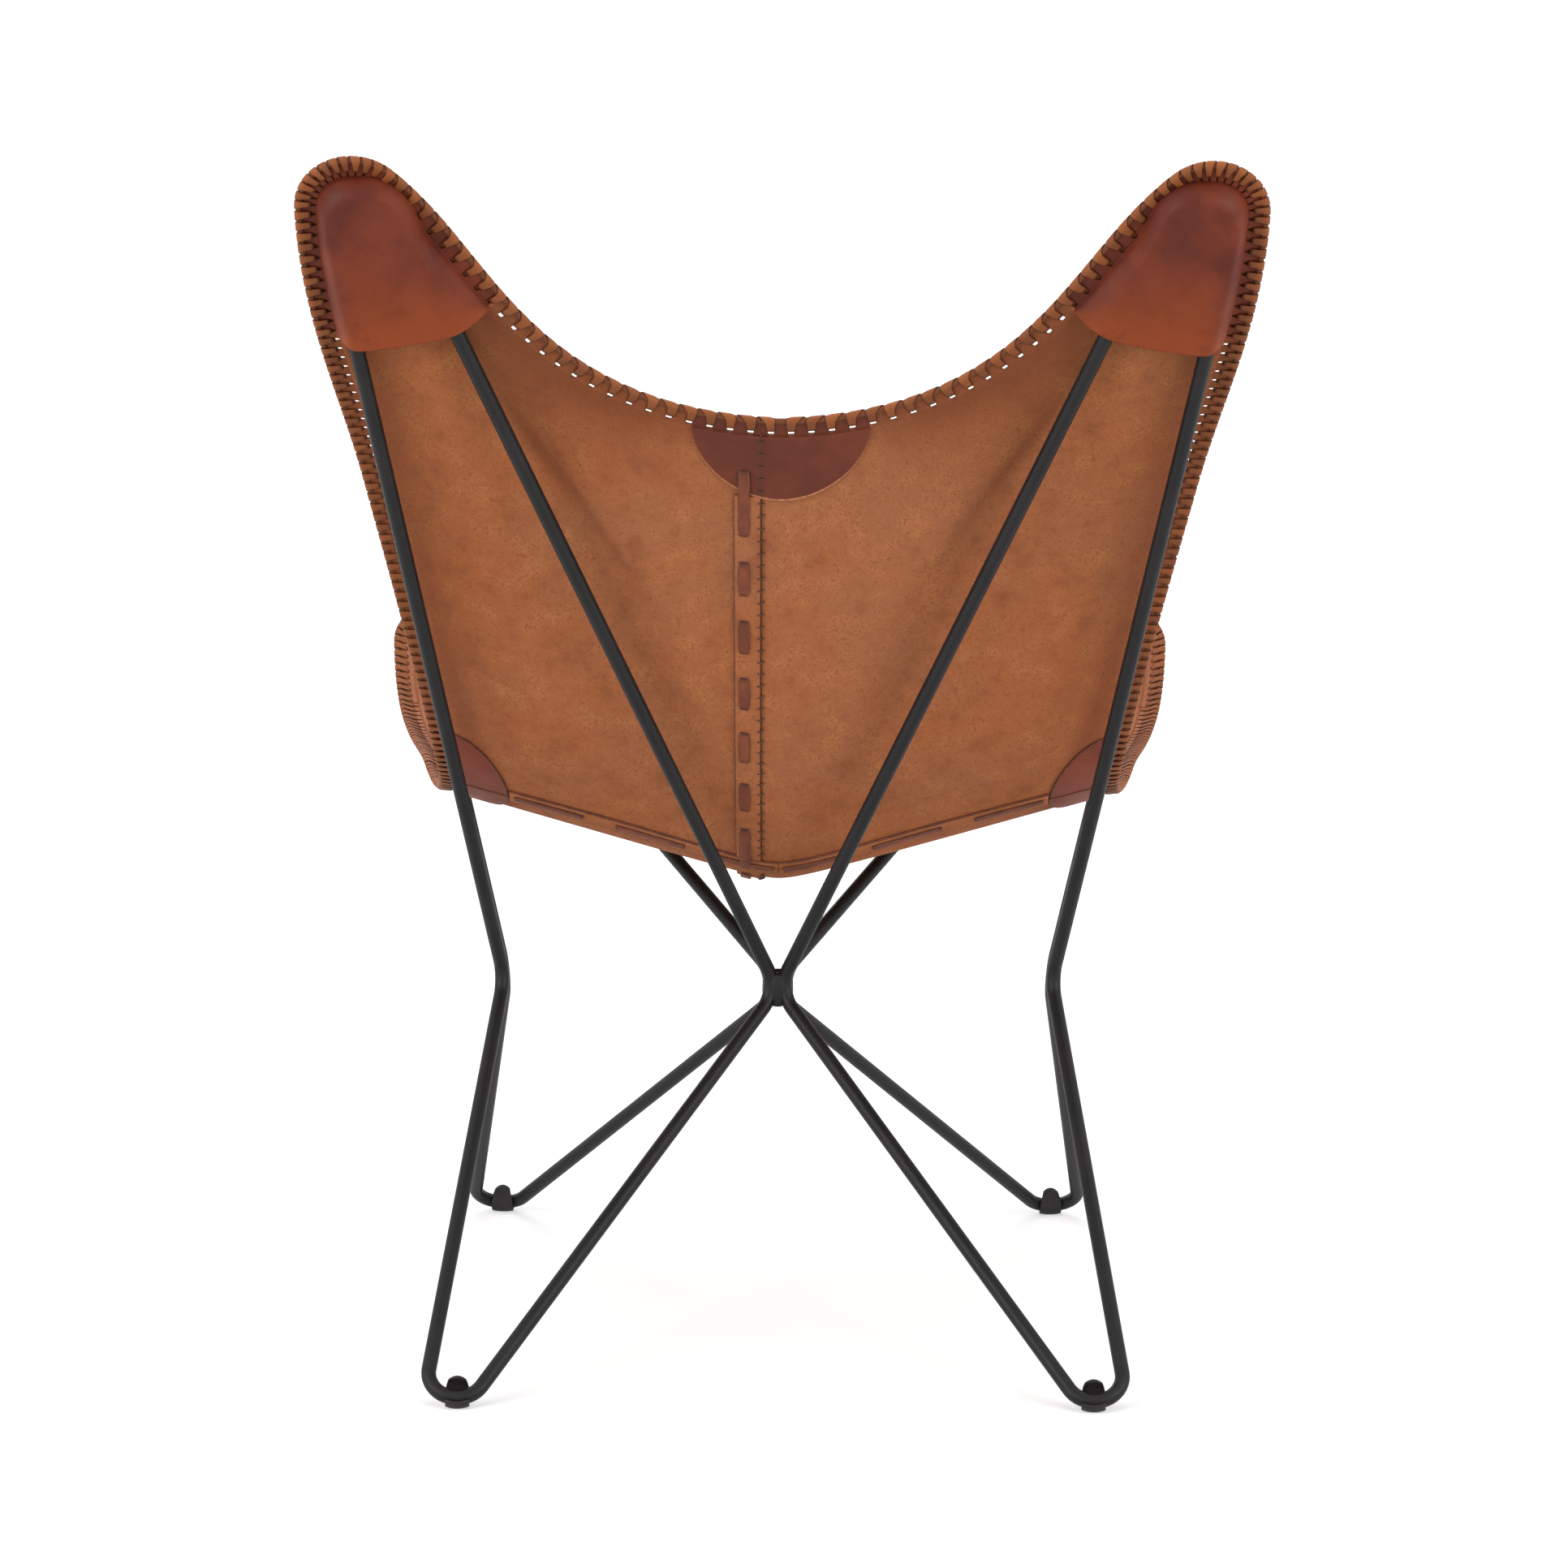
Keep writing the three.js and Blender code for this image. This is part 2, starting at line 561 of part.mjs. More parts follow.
const chair = new THREE.Group();

function add(name, geometry, material) {
  const mesh = new THREE.Mesh(geometry, material());
  mesh.name = name;
  chair.add(mesh);
}

const SIDES = { left: 1, right: -1 };
const ENDS = { rear: 1, front: -1 };
const bendsOf = {};

// Frame and glides.
Object.entries(ENDS).forEach(([endName, end]) =>
  Object.entries(SIDES).forEach(([sideName, side]) => {
    const bends = loopBends(side, end);
    bendsOf[`${endName}_${sideName}`] = bends;
    add(`${endName}_${sideName}_rod_loop`, rodLoop(bends, ROD_RADIUS), powderCoat);
    add(`${endName}_${sideName}_floor_glide`, floorGlide(bends), blackPlastic);
  }),
);

// Weld beads: between the two loops of an end or a side at the hub, and of a side at the waist.
// A bead starts at the line where its rods touch.
const beadReach = ROD_TOUCH + BEAD_DEPTH / 2;
Object.entries(ENDS).forEach(([endName, end]) => {
  const beside = [bendsOf[`${endName}_left`], bendsOf[`${endName}_right`]];
  const centre = vec(0, end * beadReach, HUB_HEIGHT);
  add(`hub_weld_${endName}`, weldBead(centre, vec(BEAD_WIDTH, BEAD_DEPTH, BEAD_LENGTH), beside), powderCoat);
});
Object.entries(SIDES).forEach(([sideName, side]) => {
  const beside = [bendsOf[`rear_${sideName}`], bendsOf[`front_${sideName}`]];
  const size = vec(BEAD_DEPTH, BEAD_WIDTH, BEAD_LENGTH);
  const atHub = vec(side * beadReach, 0, HUB_HEIGHT);
  const atWaist = vec(side * (WAIST_HALF_WIDTH + BEAD_DEPTH / 2), 0, WAIST_HEIGHT);
  add(`hub_weld_${sideName}`, weldBead(atHub, size, beside), powderCoat);
  add(`waist_weld_${sideName}`, weldBead(atWaist, size, beside), powderCoat);
});

// Sling: panels, pockets and laced rims.
const edges = { rear: slingEdge(ENDS.rear), front: slingEdge(ENDS.front) };
const panelNames = { rear: "back", front: "seat" };
Object.entries(edges).forEach(([endName, edge]) =>
  Object.entries(SIDES).forEach(([sideName, side]) => {
    add(`${panelNames[endName]}_panel_${sideName}`, panel(edge, side), suede);
    add(`${endName}_pocket_${sideName}`, pocket(edge, side), glossyLeather);
    add(`${panelNames[endName]}_laced_rim_${sideName}`, lacedRim(edge, side), laceLeather);
  }),
);

// Half-moon patches over the ends of the seams.
Object.entries(edges).forEach(([endName, edge]) => {
  const rimPoint = (s) => mirrored(edge.at(Math.abs(s), EDGE_INSET), Math.sign(s) || 1);
  const name = edge.end > 0 ? "top_patch" : "front_patch";
  add(name, halfMoon(rimPoint, flat(0, -edge.end), END_PATCH), glossyLeather);
});
Object.entries(SIDES).forEach(([sideName, side]) => {
  const rimPoint = (s) => {
    const edge = s > 0 ? edges.rear : edges.front;
    return mirrored(edge.at(edge.length - Math.abs(s), EDGE_INSET), side);
  };
  add(`${sideName}_side_patch`, halfMoon(rimPoint, flat(-side, 0), SIDE_PATCH), glossyLeather);
});

// Lap strips and woven thongs on the centre seam, and strips over the cross seam.
const stripEdge = CROSS_STRIP_WIDTH / 2 + TOUCH_GAP;
const patchFoot = (size) => EDGE_INSET + size.depth + TOUCH_GAP;
const lapX = LAP_START + LAP_WIDTH / 2;
Object.entries(edges).forEach(([endName, edge]) => {
  const seamEnd = CROSS_SEAM + edge.end * stripEdge;
  const patchEnd = edge.at(0, patchFoot(END_PATCH)).y;
  const [from, to] = [flat(lapX, seamEnd), flat(lapX, patchEnd)];
  const name = panelNames[endName];
  add(`${name}_lap_strip`, strip(from, to, LAP_WIDTH, SKIN_LIFT, PATCH_LEATHER, 0), suede);
  const thong = strip(from, to, THONG_WIDTH, THONG_LIFT, THONG_LEATHER, THONG_LEATHER / 2);
  add(`${name}_seam_thong`, thong, laceLeather);
});
Object.entries(SIDES).forEach(([sideName, side]) => {
  const from = flat((side * TOUCH_GAP) / 2, CROSS_SEAM);
  const to = flat(side * (SLING_WAIST_HALF_WIDTH - patchFoot(SIDE_PATCH)), CROSS_SEAM);
  add(`cross_strip_${sideName}`, strip(from, to, CROSS_STRIP_WIDTH, SKIN_LIFT, PATCH_LEATHER, 0), suede);
});

// The origin: on the floor, below the middle of the chair's depth.
const box = new THREE.Box3().setFromObject(chair);
chair.children.forEach((mesh) => mesh.geometry.translate(0, -(box.min.y + box.max.y) / 2, 0));

export default chair;
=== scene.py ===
import bmesh
import bpy
import numpy as np
from mathutils import Matrix, Vector


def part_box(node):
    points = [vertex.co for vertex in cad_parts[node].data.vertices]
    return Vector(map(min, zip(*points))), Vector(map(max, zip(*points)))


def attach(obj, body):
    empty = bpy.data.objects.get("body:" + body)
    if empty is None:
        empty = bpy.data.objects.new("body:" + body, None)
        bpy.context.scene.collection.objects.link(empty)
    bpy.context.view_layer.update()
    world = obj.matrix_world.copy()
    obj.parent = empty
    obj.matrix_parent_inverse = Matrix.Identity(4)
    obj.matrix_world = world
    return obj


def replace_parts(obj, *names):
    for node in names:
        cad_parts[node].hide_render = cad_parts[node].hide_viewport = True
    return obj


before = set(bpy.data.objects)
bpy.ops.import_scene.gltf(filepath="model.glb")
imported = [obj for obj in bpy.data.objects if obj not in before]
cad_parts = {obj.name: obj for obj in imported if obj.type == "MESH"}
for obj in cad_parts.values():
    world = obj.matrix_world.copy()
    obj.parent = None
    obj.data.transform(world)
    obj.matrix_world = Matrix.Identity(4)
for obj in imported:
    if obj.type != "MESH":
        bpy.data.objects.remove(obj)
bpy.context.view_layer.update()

# Frame: four closed loops of round steel rod, bent cold and powder coated black.
# Each has a hairpin under the leather, a bend at the waist, one on the floor and one at the hub.
ROD_RADIUS = 5.5
ROD_TOUCH = 5.8
WAIST = np.array([213.0, ROD_TOUCH, 261.0])
HUB = np.array([ROD_TOUCH, ROD_TOUCH, 253.0])
HAIRPINS = {1: np.array([344.0, 427.0, 1053.0]), -1: np.array([321.0, 434.0, 548.0])}
HAIRPIN_RADIUS = 26.0
FLOOR_APEX = np.array([263.0, 330.0, 0.0])
FLOOR_BEND_RADIUS = 21.0
WAIST_BEND_RADIUS = 22.0
GLIDE_SOLE = 2.2
ROD_SIDES = 20
SETTLING = 24
SIDES = {"left": 1, "right": -1}
ENDS = {"rear": 1, "front": -1}
WAIST_PLANE = sum(corner.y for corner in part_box("waist_weld_left")) / 2


def unit(v):
    """Vectors divided by their own length."""
    return v / np.linalg.norm(v, axis=-1, keepdims=True)


def bend(before, corner, after, radius, steps=20):
    """Arc that rounds a corner: its centre is on the bisector, and it runs from tangent to tangent. With it
    come its middle, its centre and the way out from the centre."""
    back, ahead = unit(before - corner), unit(after - corner)
    half = np.arccos(back @ ahead) / 2
    bisector, across = unit(back + ahead), unit(ahead - back)
    centre = corner + bisector * radius / np.sin(half)
    angle = np.linspace(half - np.pi / 2, np.pi / 2 - half, steps)[:, None]
    arc = centre + radius * (across * np.sin(angle) - bisector * np.cos(angle))
    return arc, centre - radius * bisector, centre, -bisector


def rod_loop(side, end):
    """The four arcs of a loop. Waist and hub are moved until their bends touch, the foot until it stands:
    each by what its bend's middle or lowest point still lacks, many times over."""
    turn = np.array([side, end, 1.0])
    hairpin, foot = HAIRPINS[end] * turn, FLOOR_APEX * turn
    waist, hub = WAIST * turn, HUB * turn
    for _ in range(SETTLING):
        waist = waist + WAIST * turn - bend(hairpin, waist, foot, WAIST_BEND_RADIUS)[1]
        hub = hub + HUB * turn - bend(foot, hub, hairpin, WAIST_BEND_RADIUS)[1]
        lowest = bend(waist, foot, hub, FLOOR_BEND_RADIUS, 60)[0][:, 2].min()
        foot = foot + [0, 0, ROD_RADIUS + GLIDE_SOLE - lowest]
    return [
        bend(hub, hairpin, waist, HAIRPIN_RADIUS)[0],
        bend(hairpin, waist, foot, WAIST_BEND_RADIUS)[0],
        bend(waist, foot, hub, FLOOR_BEND_RADIUS)[0],
        bend(foot, hub, hairpin, WAIST_BEND_RADIUS)[0],
    ]


def tube(path, radius, sides):
    """Closed round tube: at each point of the path, a circle square to the run from point to point."""
    along = unit(np.roll(path, -1, 0) - np.roll(path, 1, 0))
    level = np.array([0.0, 1.0, 0.0])
    across = unit(level - (along @ level)[:, None] * along)
    angle = np.linspace(0, 2 * np.pi, sides, endpoint=False)[None, :, None]
    ring = np.cos(angle) * across[:, None] + np.sin(angle) * np.cross(along, across)[:, None]
    return path[:, None] + radius * ring


def quads(grid, rows_close=False, columns_close=False):
    """Faces of a grid of points, row by row, closed on itself along either way."""
    rows, columns = grid.shape[:2]
    r = np.arange(rows if rows_close else rows - 1)[:, None]
    c = np.arange(columns if columns_close else columns - 1)[None, :]
    below, beside = (r + 1) % rows, (c + 1) % columns
    corners = [r * columns + c, r * columns + beside, below * columns + beside, below * columns + c]
    return np.stack(np.broadcast_arrays(*corners), -1).reshape(-1, 4)


def rework(mesh, change):
    """Runs a change on an editable copy of a mesh and writes it back."""
    work = bmesh.new()
    work.from_mesh(mesh)
    change(work)
    work.to_mesh(mesh)
    work.free()


def join_doubles(work):
    """Joins points that meet and takes out faces without area."""
    bmesh.ops.remove_doubles(work, verts=work.verts, dist=1e-6)
    bmesh.ops.dissolve_degenerate(work, edges=work.edges, dist=1e-7)


def show(name, data):
    """An object that shows these data in the scene."""
    made = bpy.data.objects.new(name, data)
    bpy.context.scene.collection.objects.link(made)
    return made


def piece(name, points, faces, materials, **marks):
    """A mesh object from points in millimetres, laid out from the waist plane, and its faces. Marks are
    numbers on the points that a material reads by name."""
    mesh = bpy.data.meshes.new(name)
    spots = points.reshape(-1, 3) / 1000 + [0, WAIST_PLANE, 0]
    mesh.from_pydata(spots.tolist(), [], faces.tolist())
    for mark, values in marks.items():
        layer = mesh.attributes.new(mark, "FLOAT", "POINT")
        layer.data.foreach_set("value", np.asarray(values, np.float32).ravel())
    rework(mesh, join_doubles)
    mesh.shade_smooth()
    for material in materials:
        mesh.materials.append(material)
    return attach(show(name, mesh), "root")


def facing_out(made):
    """Turns the faces of a closed piece so that they point out."""
    rework(made.data, lambda work: bmesh.ops.recalc_face_normals(work, faces=work.faces))
    return made


class Shade:
    """A socket of a node tree. Sums, differences and products add Math nodes."""

    def __init__(self, tree, socket=None):
        self.tree, self.socket = tree, socket

    def node(self, kind, settings=None, sockets=None, out=0):
        """Adds a node: its settings first, then values or links of its sockets, by name or number."""
        made = self.tree.nodes.new("ShaderNode" + kind)
        for key, value in (settings or {}).items():
            setattr(made, key, value)
        for key, value in (sockets or {}).items():
            if isinstance(value, Shade):
                self.tree.links.new(value.socket, made.inputs[key])
            else:
                made.inputs[key].default_value = value
        return Shade(self.tree, made.outputs[out]) if len(made.outputs) else made

    def math(self, operation, first, second):
        """One Math node on two values."""
        return self.node("Math", {"operation": operation}, {0: first, 1: second})

    def __add__(self, other):
        return self.math("ADD", self, other)

    __radd__ = __add__

    def __sub__(self, other):
        return self.math("SUBTRACT", self, other)

    def __rsub__(self, other):
        return self.math("SUBTRACT", other, self)

    def __mul__(self, other):
        return self.math("MULTIPLY", self, other)

    __rmul__ = __mul__

    def step(self, low, high):
        """0 below low, 1 above high, and a smooth rise between them."""
        settings = {"interpolation_type": "SMOOTHSTEP"}
        return self.node("MapRange", settings, {0: self, 1: low, 2: high, 3: 0.0, 4: 1.0})

    def tint(self, low, high):
        """A colour from low at 0 to high at 1, each a socket or a colour as seen on a screen."""
        low, high = (end if isinstance(end, Shade) else paint(*end) for end in (low, high))
        return self.node("Mix", {"data_type": "RGBA"}, {0: self, 6: low, 7: high}, 2)

    def under(self, *layers):
        """This colour with layers over it, each a mask and a colour."""
        seen = self
        for mask, colour in layers:
            seen = mask.tint(seen, colour)
        return seen

    def mark(self, name):
        """The number that a piece carries on its points under this name."""
        return self.node("Attribute", {"attribute_name": name}, out="Fac")

    def noise(self, grain_mm, detail, roughness=0.55):
        """Clouds about as large as grain_mm on the material's Object coordinates."""
        sockets = {"Vector": self.place, "Scale": 1000 / grain_mm, "Detail": detail, "Roughness": roughness}
        return self.node("TexNoise", {}, sockets)


def paint(red, green, blue):
    """A colour as seen on a screen, 0 to 255, as the linear colour that shaders take."""
    seen = np.array([red, green, blue]) / 255
    linear = np.where(seen <= 0.04045, seen / 12.92, ((seen + 0.055) / 1.055) ** 2.4)
    return (*linear.tolist(), 1.0)


def new_material(name):
    """An empty material, and its shading start with Object coordinates as the place."""
    material = bpy.data.materials.new(name)
    material.use_nodes = True
    material.node_tree.nodes.clear()
    start = Shade(material.node_tree)
    start.place = start.node("TexCoord", out="Object")
    return material, start


def finish(start, colour, roughness, height, depth_mm, specular=0.5):
    """Ends a material in one Principled shader, with the height as a bump of the given depth."""
    bump = start.node("Bump", {}, {"Height": height, "Strength": 1.0, "Distance": depth_mm / 1000})
    sockets = {"Base Color": colour, "Roughness": roughness, "Normal": bump, "Specular IOR Level": specular}
    start.node("OutputMaterial", {}, {"Surface": start.node("BsdfPrincipled", {}, sockets)})


powder_coat, start = new_material("black powder coat")
peel = start.noise(1.6, 2.0)
shade_wear_and_tone = start.noise(45, 4.0)
colour = shade_wear_and_tone.step(0.35, 0.7).tint((15, 13, 14), (23, 20, 21))
finish(start, colour, 0.36 + 0.16 * peel + 0.1 * shade_wear_and_tone, peel, 0.05, 0.26)
bends_of = {}
for end_name, end in ENDS.items():
    for side_name, side in SIDES.items():
        arcs = rod_loop(side, end)
        bends_of[end_name, side_name] = arcs
        rod = tube(np.concatenate(arcs), ROD_RADIUS, ROD_SIDES)
        name = f"{end_name}_{side_name}_bent_rod"
        made = piece(name, rod, quads(rod, True, True), [powder_coat])
        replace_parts(facing_out(made), f"{end_name}_{side_name}_rod_loop")

# Welds: short beads run into the grooves where the loops touch, at the hub and at the two waists,
# ground a little flat and coated with the rods.
BEAD = np.array([7.2, 4.6, 13.5])
BEAD_RIPPLE = 0.03
BEADS = {"hub": (ROD_TOUCH + 1.6, HUB[2]), "waist": (WAIST[0] + 1.2, WAIST[2])}


def bead(centre, size):
    """A pillow: on a sphere's angles, each sine and cosine is flattened by a power below one."""
    turn, rise = np.meshgrid(np.linspace(0, 2 * np.pi, 25), np.linspace(-np.pi / 2, np.pi / 2, 17))
    flat = lambda wave, power: np.sign(wave) * np.abs(wave) ** power
    ring = flat(np.cos(rise), 0.7)
    ripple = 1 + BEAD_RIPPLE * np.sin(6 * np.pi * np.sin(rise))
    shape = [flat(np.cos(turn), 0.8) * ring, flat(np.sin(turn), 0.8) * ring, flat(np.sin(rise), 0.85)]
    return centre + np.stack(shape, -1) * size * ripple[..., None]


for joint, ways in {"hub": ENDS | SIDES, "waist": SIDES}.items():
    for way_name, way in ways.items():
        out, height = BEADS[joint]
        beside = way_name in SIDES
        centre = np.array([way * out * beside, way * out * (not beside), height])
        node = f"{joint}_weld_{way_name}"
        grid = bead(centre, BEAD[[1, 0, 2]] if beside else BEAD)
        made = piece(node + "_bead", grid, quads(grid), [powder_coat])
        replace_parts(facing_out(made), node)

# Floor glides: moulded black plastic clips pressed on to the floor bends.
# A clip is a curled band with a flat sole, and its inner wall stands past the rod as a lip.
GLIDE_HALF_LENGTH = 9.0
GLIDE_WALL = 2.2
GLIDE_PLAY = 0.35
GLIDE_CURL = np.radians(np.linspace(-172, 80, 34))
GLIDE_OPENING = 8.6
GLIDE_LIP_TOP = 23.5
GLIDE_LIP_TAPER = 0.3
GLIDE_LIP_ARCH = 3.2

glide_plastic, start = new_material("moulded black plastic")
spark = start.noise(0.9, 2.0)
scuff = start.noise(9, 4.0)
colour = scuff.step(0.45, 0.75).tint((34, 31, 33), (50, 46, 48))
finish(start, colour, 0.46 + 0.2 * scuff, spark, 0.06, 0.3)


def clip(arc):
    """A curled band along the arc: round the rod by angle, on a radius that opens out past the inner side.
    The lip's ends are let down by the arc's own rise, so that its top is arched."""
    count = np.arange(len(arc))
    pick = lambda at, run, line: np.stack([np.interp(at, run, column) for column in line.T], -1)
    fine = pick(np.linspace(0, count[-1], 400), count, arc)
    run = np.concatenate([[0], np.cumsum(np.linalg.norm(np.diff(fine, axis=0), axis=1))])
    steps = run[fine[:, 2].argmin()] + np.linspace(-1, 1, 13) * GLIDE_HALF_LENGTH
    path = pick(steps, run, fine)
    along = unit((path[-1] - path[0]) * [1, 1, 0])
    middle = path[len(path) // 2]
    inward = np.cross([0, 0, 1], along)
    inward = inward * np.sign(inward @ (arc[0] + arc[-1] - 2 * middle))
    open_out = np.clip(GLIDE_CURL / GLIDE_CURL[-1], 0, 1) ** 1.8
    inner = ROD_RADIUS + GLIDE_PLAY + GLIDE_OPENING * open_out
    outer = inner + GLIDE_WALL * (1 - GLIDE_LIP_TAPER * open_out)
    reach = np.concatenate([outer, inner[::-1]])
    angle = np.concatenate([GLIDE_CURL, GLIDE_CURL[::-1]])
    lip = np.concatenate([open_out, open_out[::-1]])
    offset = np.cos(angle)[:, None] * inward + np.sin(angle)[:, None] * np.array([0, 0, 1.0])
    spots = path[:, None] + (reach[:, None] * offset)[None]
    spots = spots - (((path - middle) @ along)[:, None] * GLIDE_LIP_TAPER * lip)[..., None] * along
    spots[..., 2] -= GLIDE_LIP_ARCH * (path[:, 2] - middle[2])[:, None] * lip
    spots[..., 2] = np.clip(spots[..., 2], 0, GLIDE_LIP_TOP)
    return spots


def bar_faces(bar):
    """Faces of a closed bar: its grid, closed round the section, and both ends."""
    rows, columns = bar.shape[:2]
    c = np.arange(columns // 2 - 1)
    end = np.stack([c, c + 1, columns - 2 - c, columns - 1 - c], -1)
    return np.concatenate([quads(bar, False, True), end, end + (rows - 1) * columns])


for (end_name, side_name), arcs in bends_of.items():
    band = clip(arcs[2])
    name = f"{end_name}_{side_name}_glide_clip"
    made = facing_out(piece(name, band, bar_faces(band), [glide_plastic]))
    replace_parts(made, f"{end_name}_{side_name}_floor_glide")

# Sling: four panels of thick tan leather, flesh side out, sewn at the centre and across the seat.
# The pattern is flat, x across and w up the back; its edge is skived, punched and takes the lacing.
# Under the pockets a thin liner lies before the holes.
REAR_SLOPE = np.arctan2(HAIRPINS[1][2] - WAIST[2], HAIRPINS[1][1] - ROD_TOUCH)
FRONT_SLOPE = np.arctan2(HAIRPINS[-1][2] - WAIST[2], HAIRPINS[-1][1] - ROD_TOUCH)
LEATHER = 3.2
BACK_FACE = ROD_RADIUS + 3
SLING_WAIST = 263.5
FOLD_WIDTH = 262.0
FOLD_SOFT = (92.0, 192.0)
FOLD_BLUNT = 18.0
POCKET_HOLD = {1: 260.0, -1: 280.0}
FRONT_MIDDLE = 312.0
FRONT_DROOP = 34.0
DROOP_HALF_WIDTH = 200.0
LEG_STEPS = 200
CROSS_SEAM = 60.0
CROSS_DRAW = 14.0
SEAM_X = 14.0
SEAM_GAP = 0.15
CROSS_GAP = 0.2
LACE_PITCH = 14.0
TIP_CLOSER, SIDE_LOOSER = 0.43, 0.12
STITCH_COLUMNS = 6
BAND = 17.4
BAND_STEP = 0.06
INNER_RIM = BAND - 1.5
HOLE = (10.4, 15.5)
LINER = (9.4, 13.0, BAND)
LINER_STEP = 1.75
LINER_PAST = 8.0
BAND_SHARE, LINER_SHARE = 0.47, 0.1
POCKET_RUN = {1: (173.0, 153.0), -1: (150.0, 150.0)}
END_PATCH = (60.0, 57.0)
SIDE_PATCH = (88.0, 38.0)
BELLY = 7.0
GROOVE_WIDTH = 24.0
WAVE = 1.4
ROD_CREASE = (1.7, 5.5)
CREASE_OFF, CREASE_LEAN, CREASE_HEAD = 7.0, 0.21, 520.0
# Painted shade on the flesh side: in the crease by the inner rod, beside the outer rods and under the upper
# edge; along the edge and on the band it is partly wear.
CREASE_SHADE = (0.6, 8.0)
OUTER_ROD_SHADE = (0.75, 15.0)
UPPER_EDGE_SHADE = 0.6
EDGE_SHADE_AND_WEAR_WIDTH = 26.0
BAND_SHADE_AND_WEAR = 0.85


def smooth(value, low, high):
    """The cubic rise from 0 at low to 1 at high."""
    t = np.clip((value - low) / (high - low), 0, 1)
    return t * t * (3 - 2 * t)


def hairpin_on_flat(end):
    """Middle of a hairpin on the pattern, the way to its apex, and the rod's middle line there."""
    apex = HAIRPINS[end]
    reach = np.hypot(apex[1] - ROD_TOUCH, apex[2] - WAIST[2])
    tip = np.array([apex[0], end * reach, 0.0])
    ends = np.zeros(3), np.array([WAIST[0], 0.0, 0.0])
    arc, _, centre, outward = bend(ends[0], tip, ends[1], HAIRPIN_RADIUS, 60)
    t = np.linspace(0, 1, LEG_STEPS)[:, None]
    legs = ends[0] + (arc[0] - ends[0]) * t, arc[-1] + (ends[1] - arc[-1]) * t
    line = np.concatenate([legs[0], arc, legs[1]])
    return centre[:2], outward[:2], line[:, :2]


PINS = {end: hairpin_on_flat(end) for end in (1, -1)}


def fold(x, w):
    """Back and seat planes joined by a hyperbola, tight at the centre and wide at the sides; the hold of
    the pockets flattens it near the hairpins, and the front edge droops in the middle."""
    beside = (np.hypot(x, FOLD_BLUNT) - FOLD_BLUNT) / FOLD_WIDTH
    soft = FOLD_SOFT[0] + (FOLD_SOFT[1] - FOLD_SOFT[0]) * beside
    behind = w > 0
    reach = np.where(behind, PINS[1][0][1], -PINS[-1][0][1])
    hold = np.where(behind, POCKET_HOLD[1], POCKET_HOLD[-1])
    near = smooth(np.abs(w), reach - hold, reach - HAIRPIN_RADIUS)
    wing = np.where(behind, 1, smooth(np.abs(x), 0, PINS[-1][0][0] - HAIRPIN_RADIUS))
    slack = (1 - near * wing) * (np.hypot(w, soft) - np.abs(w)) / 2
    up, out = np.maximum(w, 0) + slack, np.maximum(-w, 0) + slack
    droop = FRONT_DROOP * np.maximum(0, 1 - (x / DROOP_HALF_WIDTH) ** 2) ** 2
    droop = droop * np.maximum(0, -w / FRONT_MIDDLE) ** 2
    y = up * np.cos(REAR_SLOPE) - out * np.cos(FRONT_SLOPE) + ROD_TOUCH * w / (up + out)
    z = WAIST[2] + up * np.sin(REAR_SLOPE) + out * np.sin(FRONT_SLOPE) - droop
    return np.stack(np.broadcast_arrays(x, y, z), -1)


def hang(x, w, lift):
    """The fold, moved along its own normal towards the sitter by the lift."""
    across = fold(x + 0.5, w) - fold(x - 0.5, w)
    along = fold(x, w + 0.5) - fold(x, w - 0.5)
    return fold(x, w) + np.asarray(lift)[..., None] * unit(np.cross(across, along))


def on_rods(x, w, lift, end):
    """The flat plane of an end's rods, moved square to it by the lift."""
    slope = REAR_SLOPE if end > 0 else FRONT_SLOPE
    run = end * w
    y = end * (ROD_TOUCH + run * np.cos(slope) - lift * np.sin(slope))
    z = WAIST[2] + run * np.sin(slope) + lift * np.cos(slope)
    return np.stack(np.broadcast_arrays(x, y, z), -1)


def nearest(x, w, line):
    """Distance of points on the pattern from the nearest point of a line."""
    return np.hypot(x[..., None] - line[:, 0], w[..., None] - line[:, 1]).min(-1)


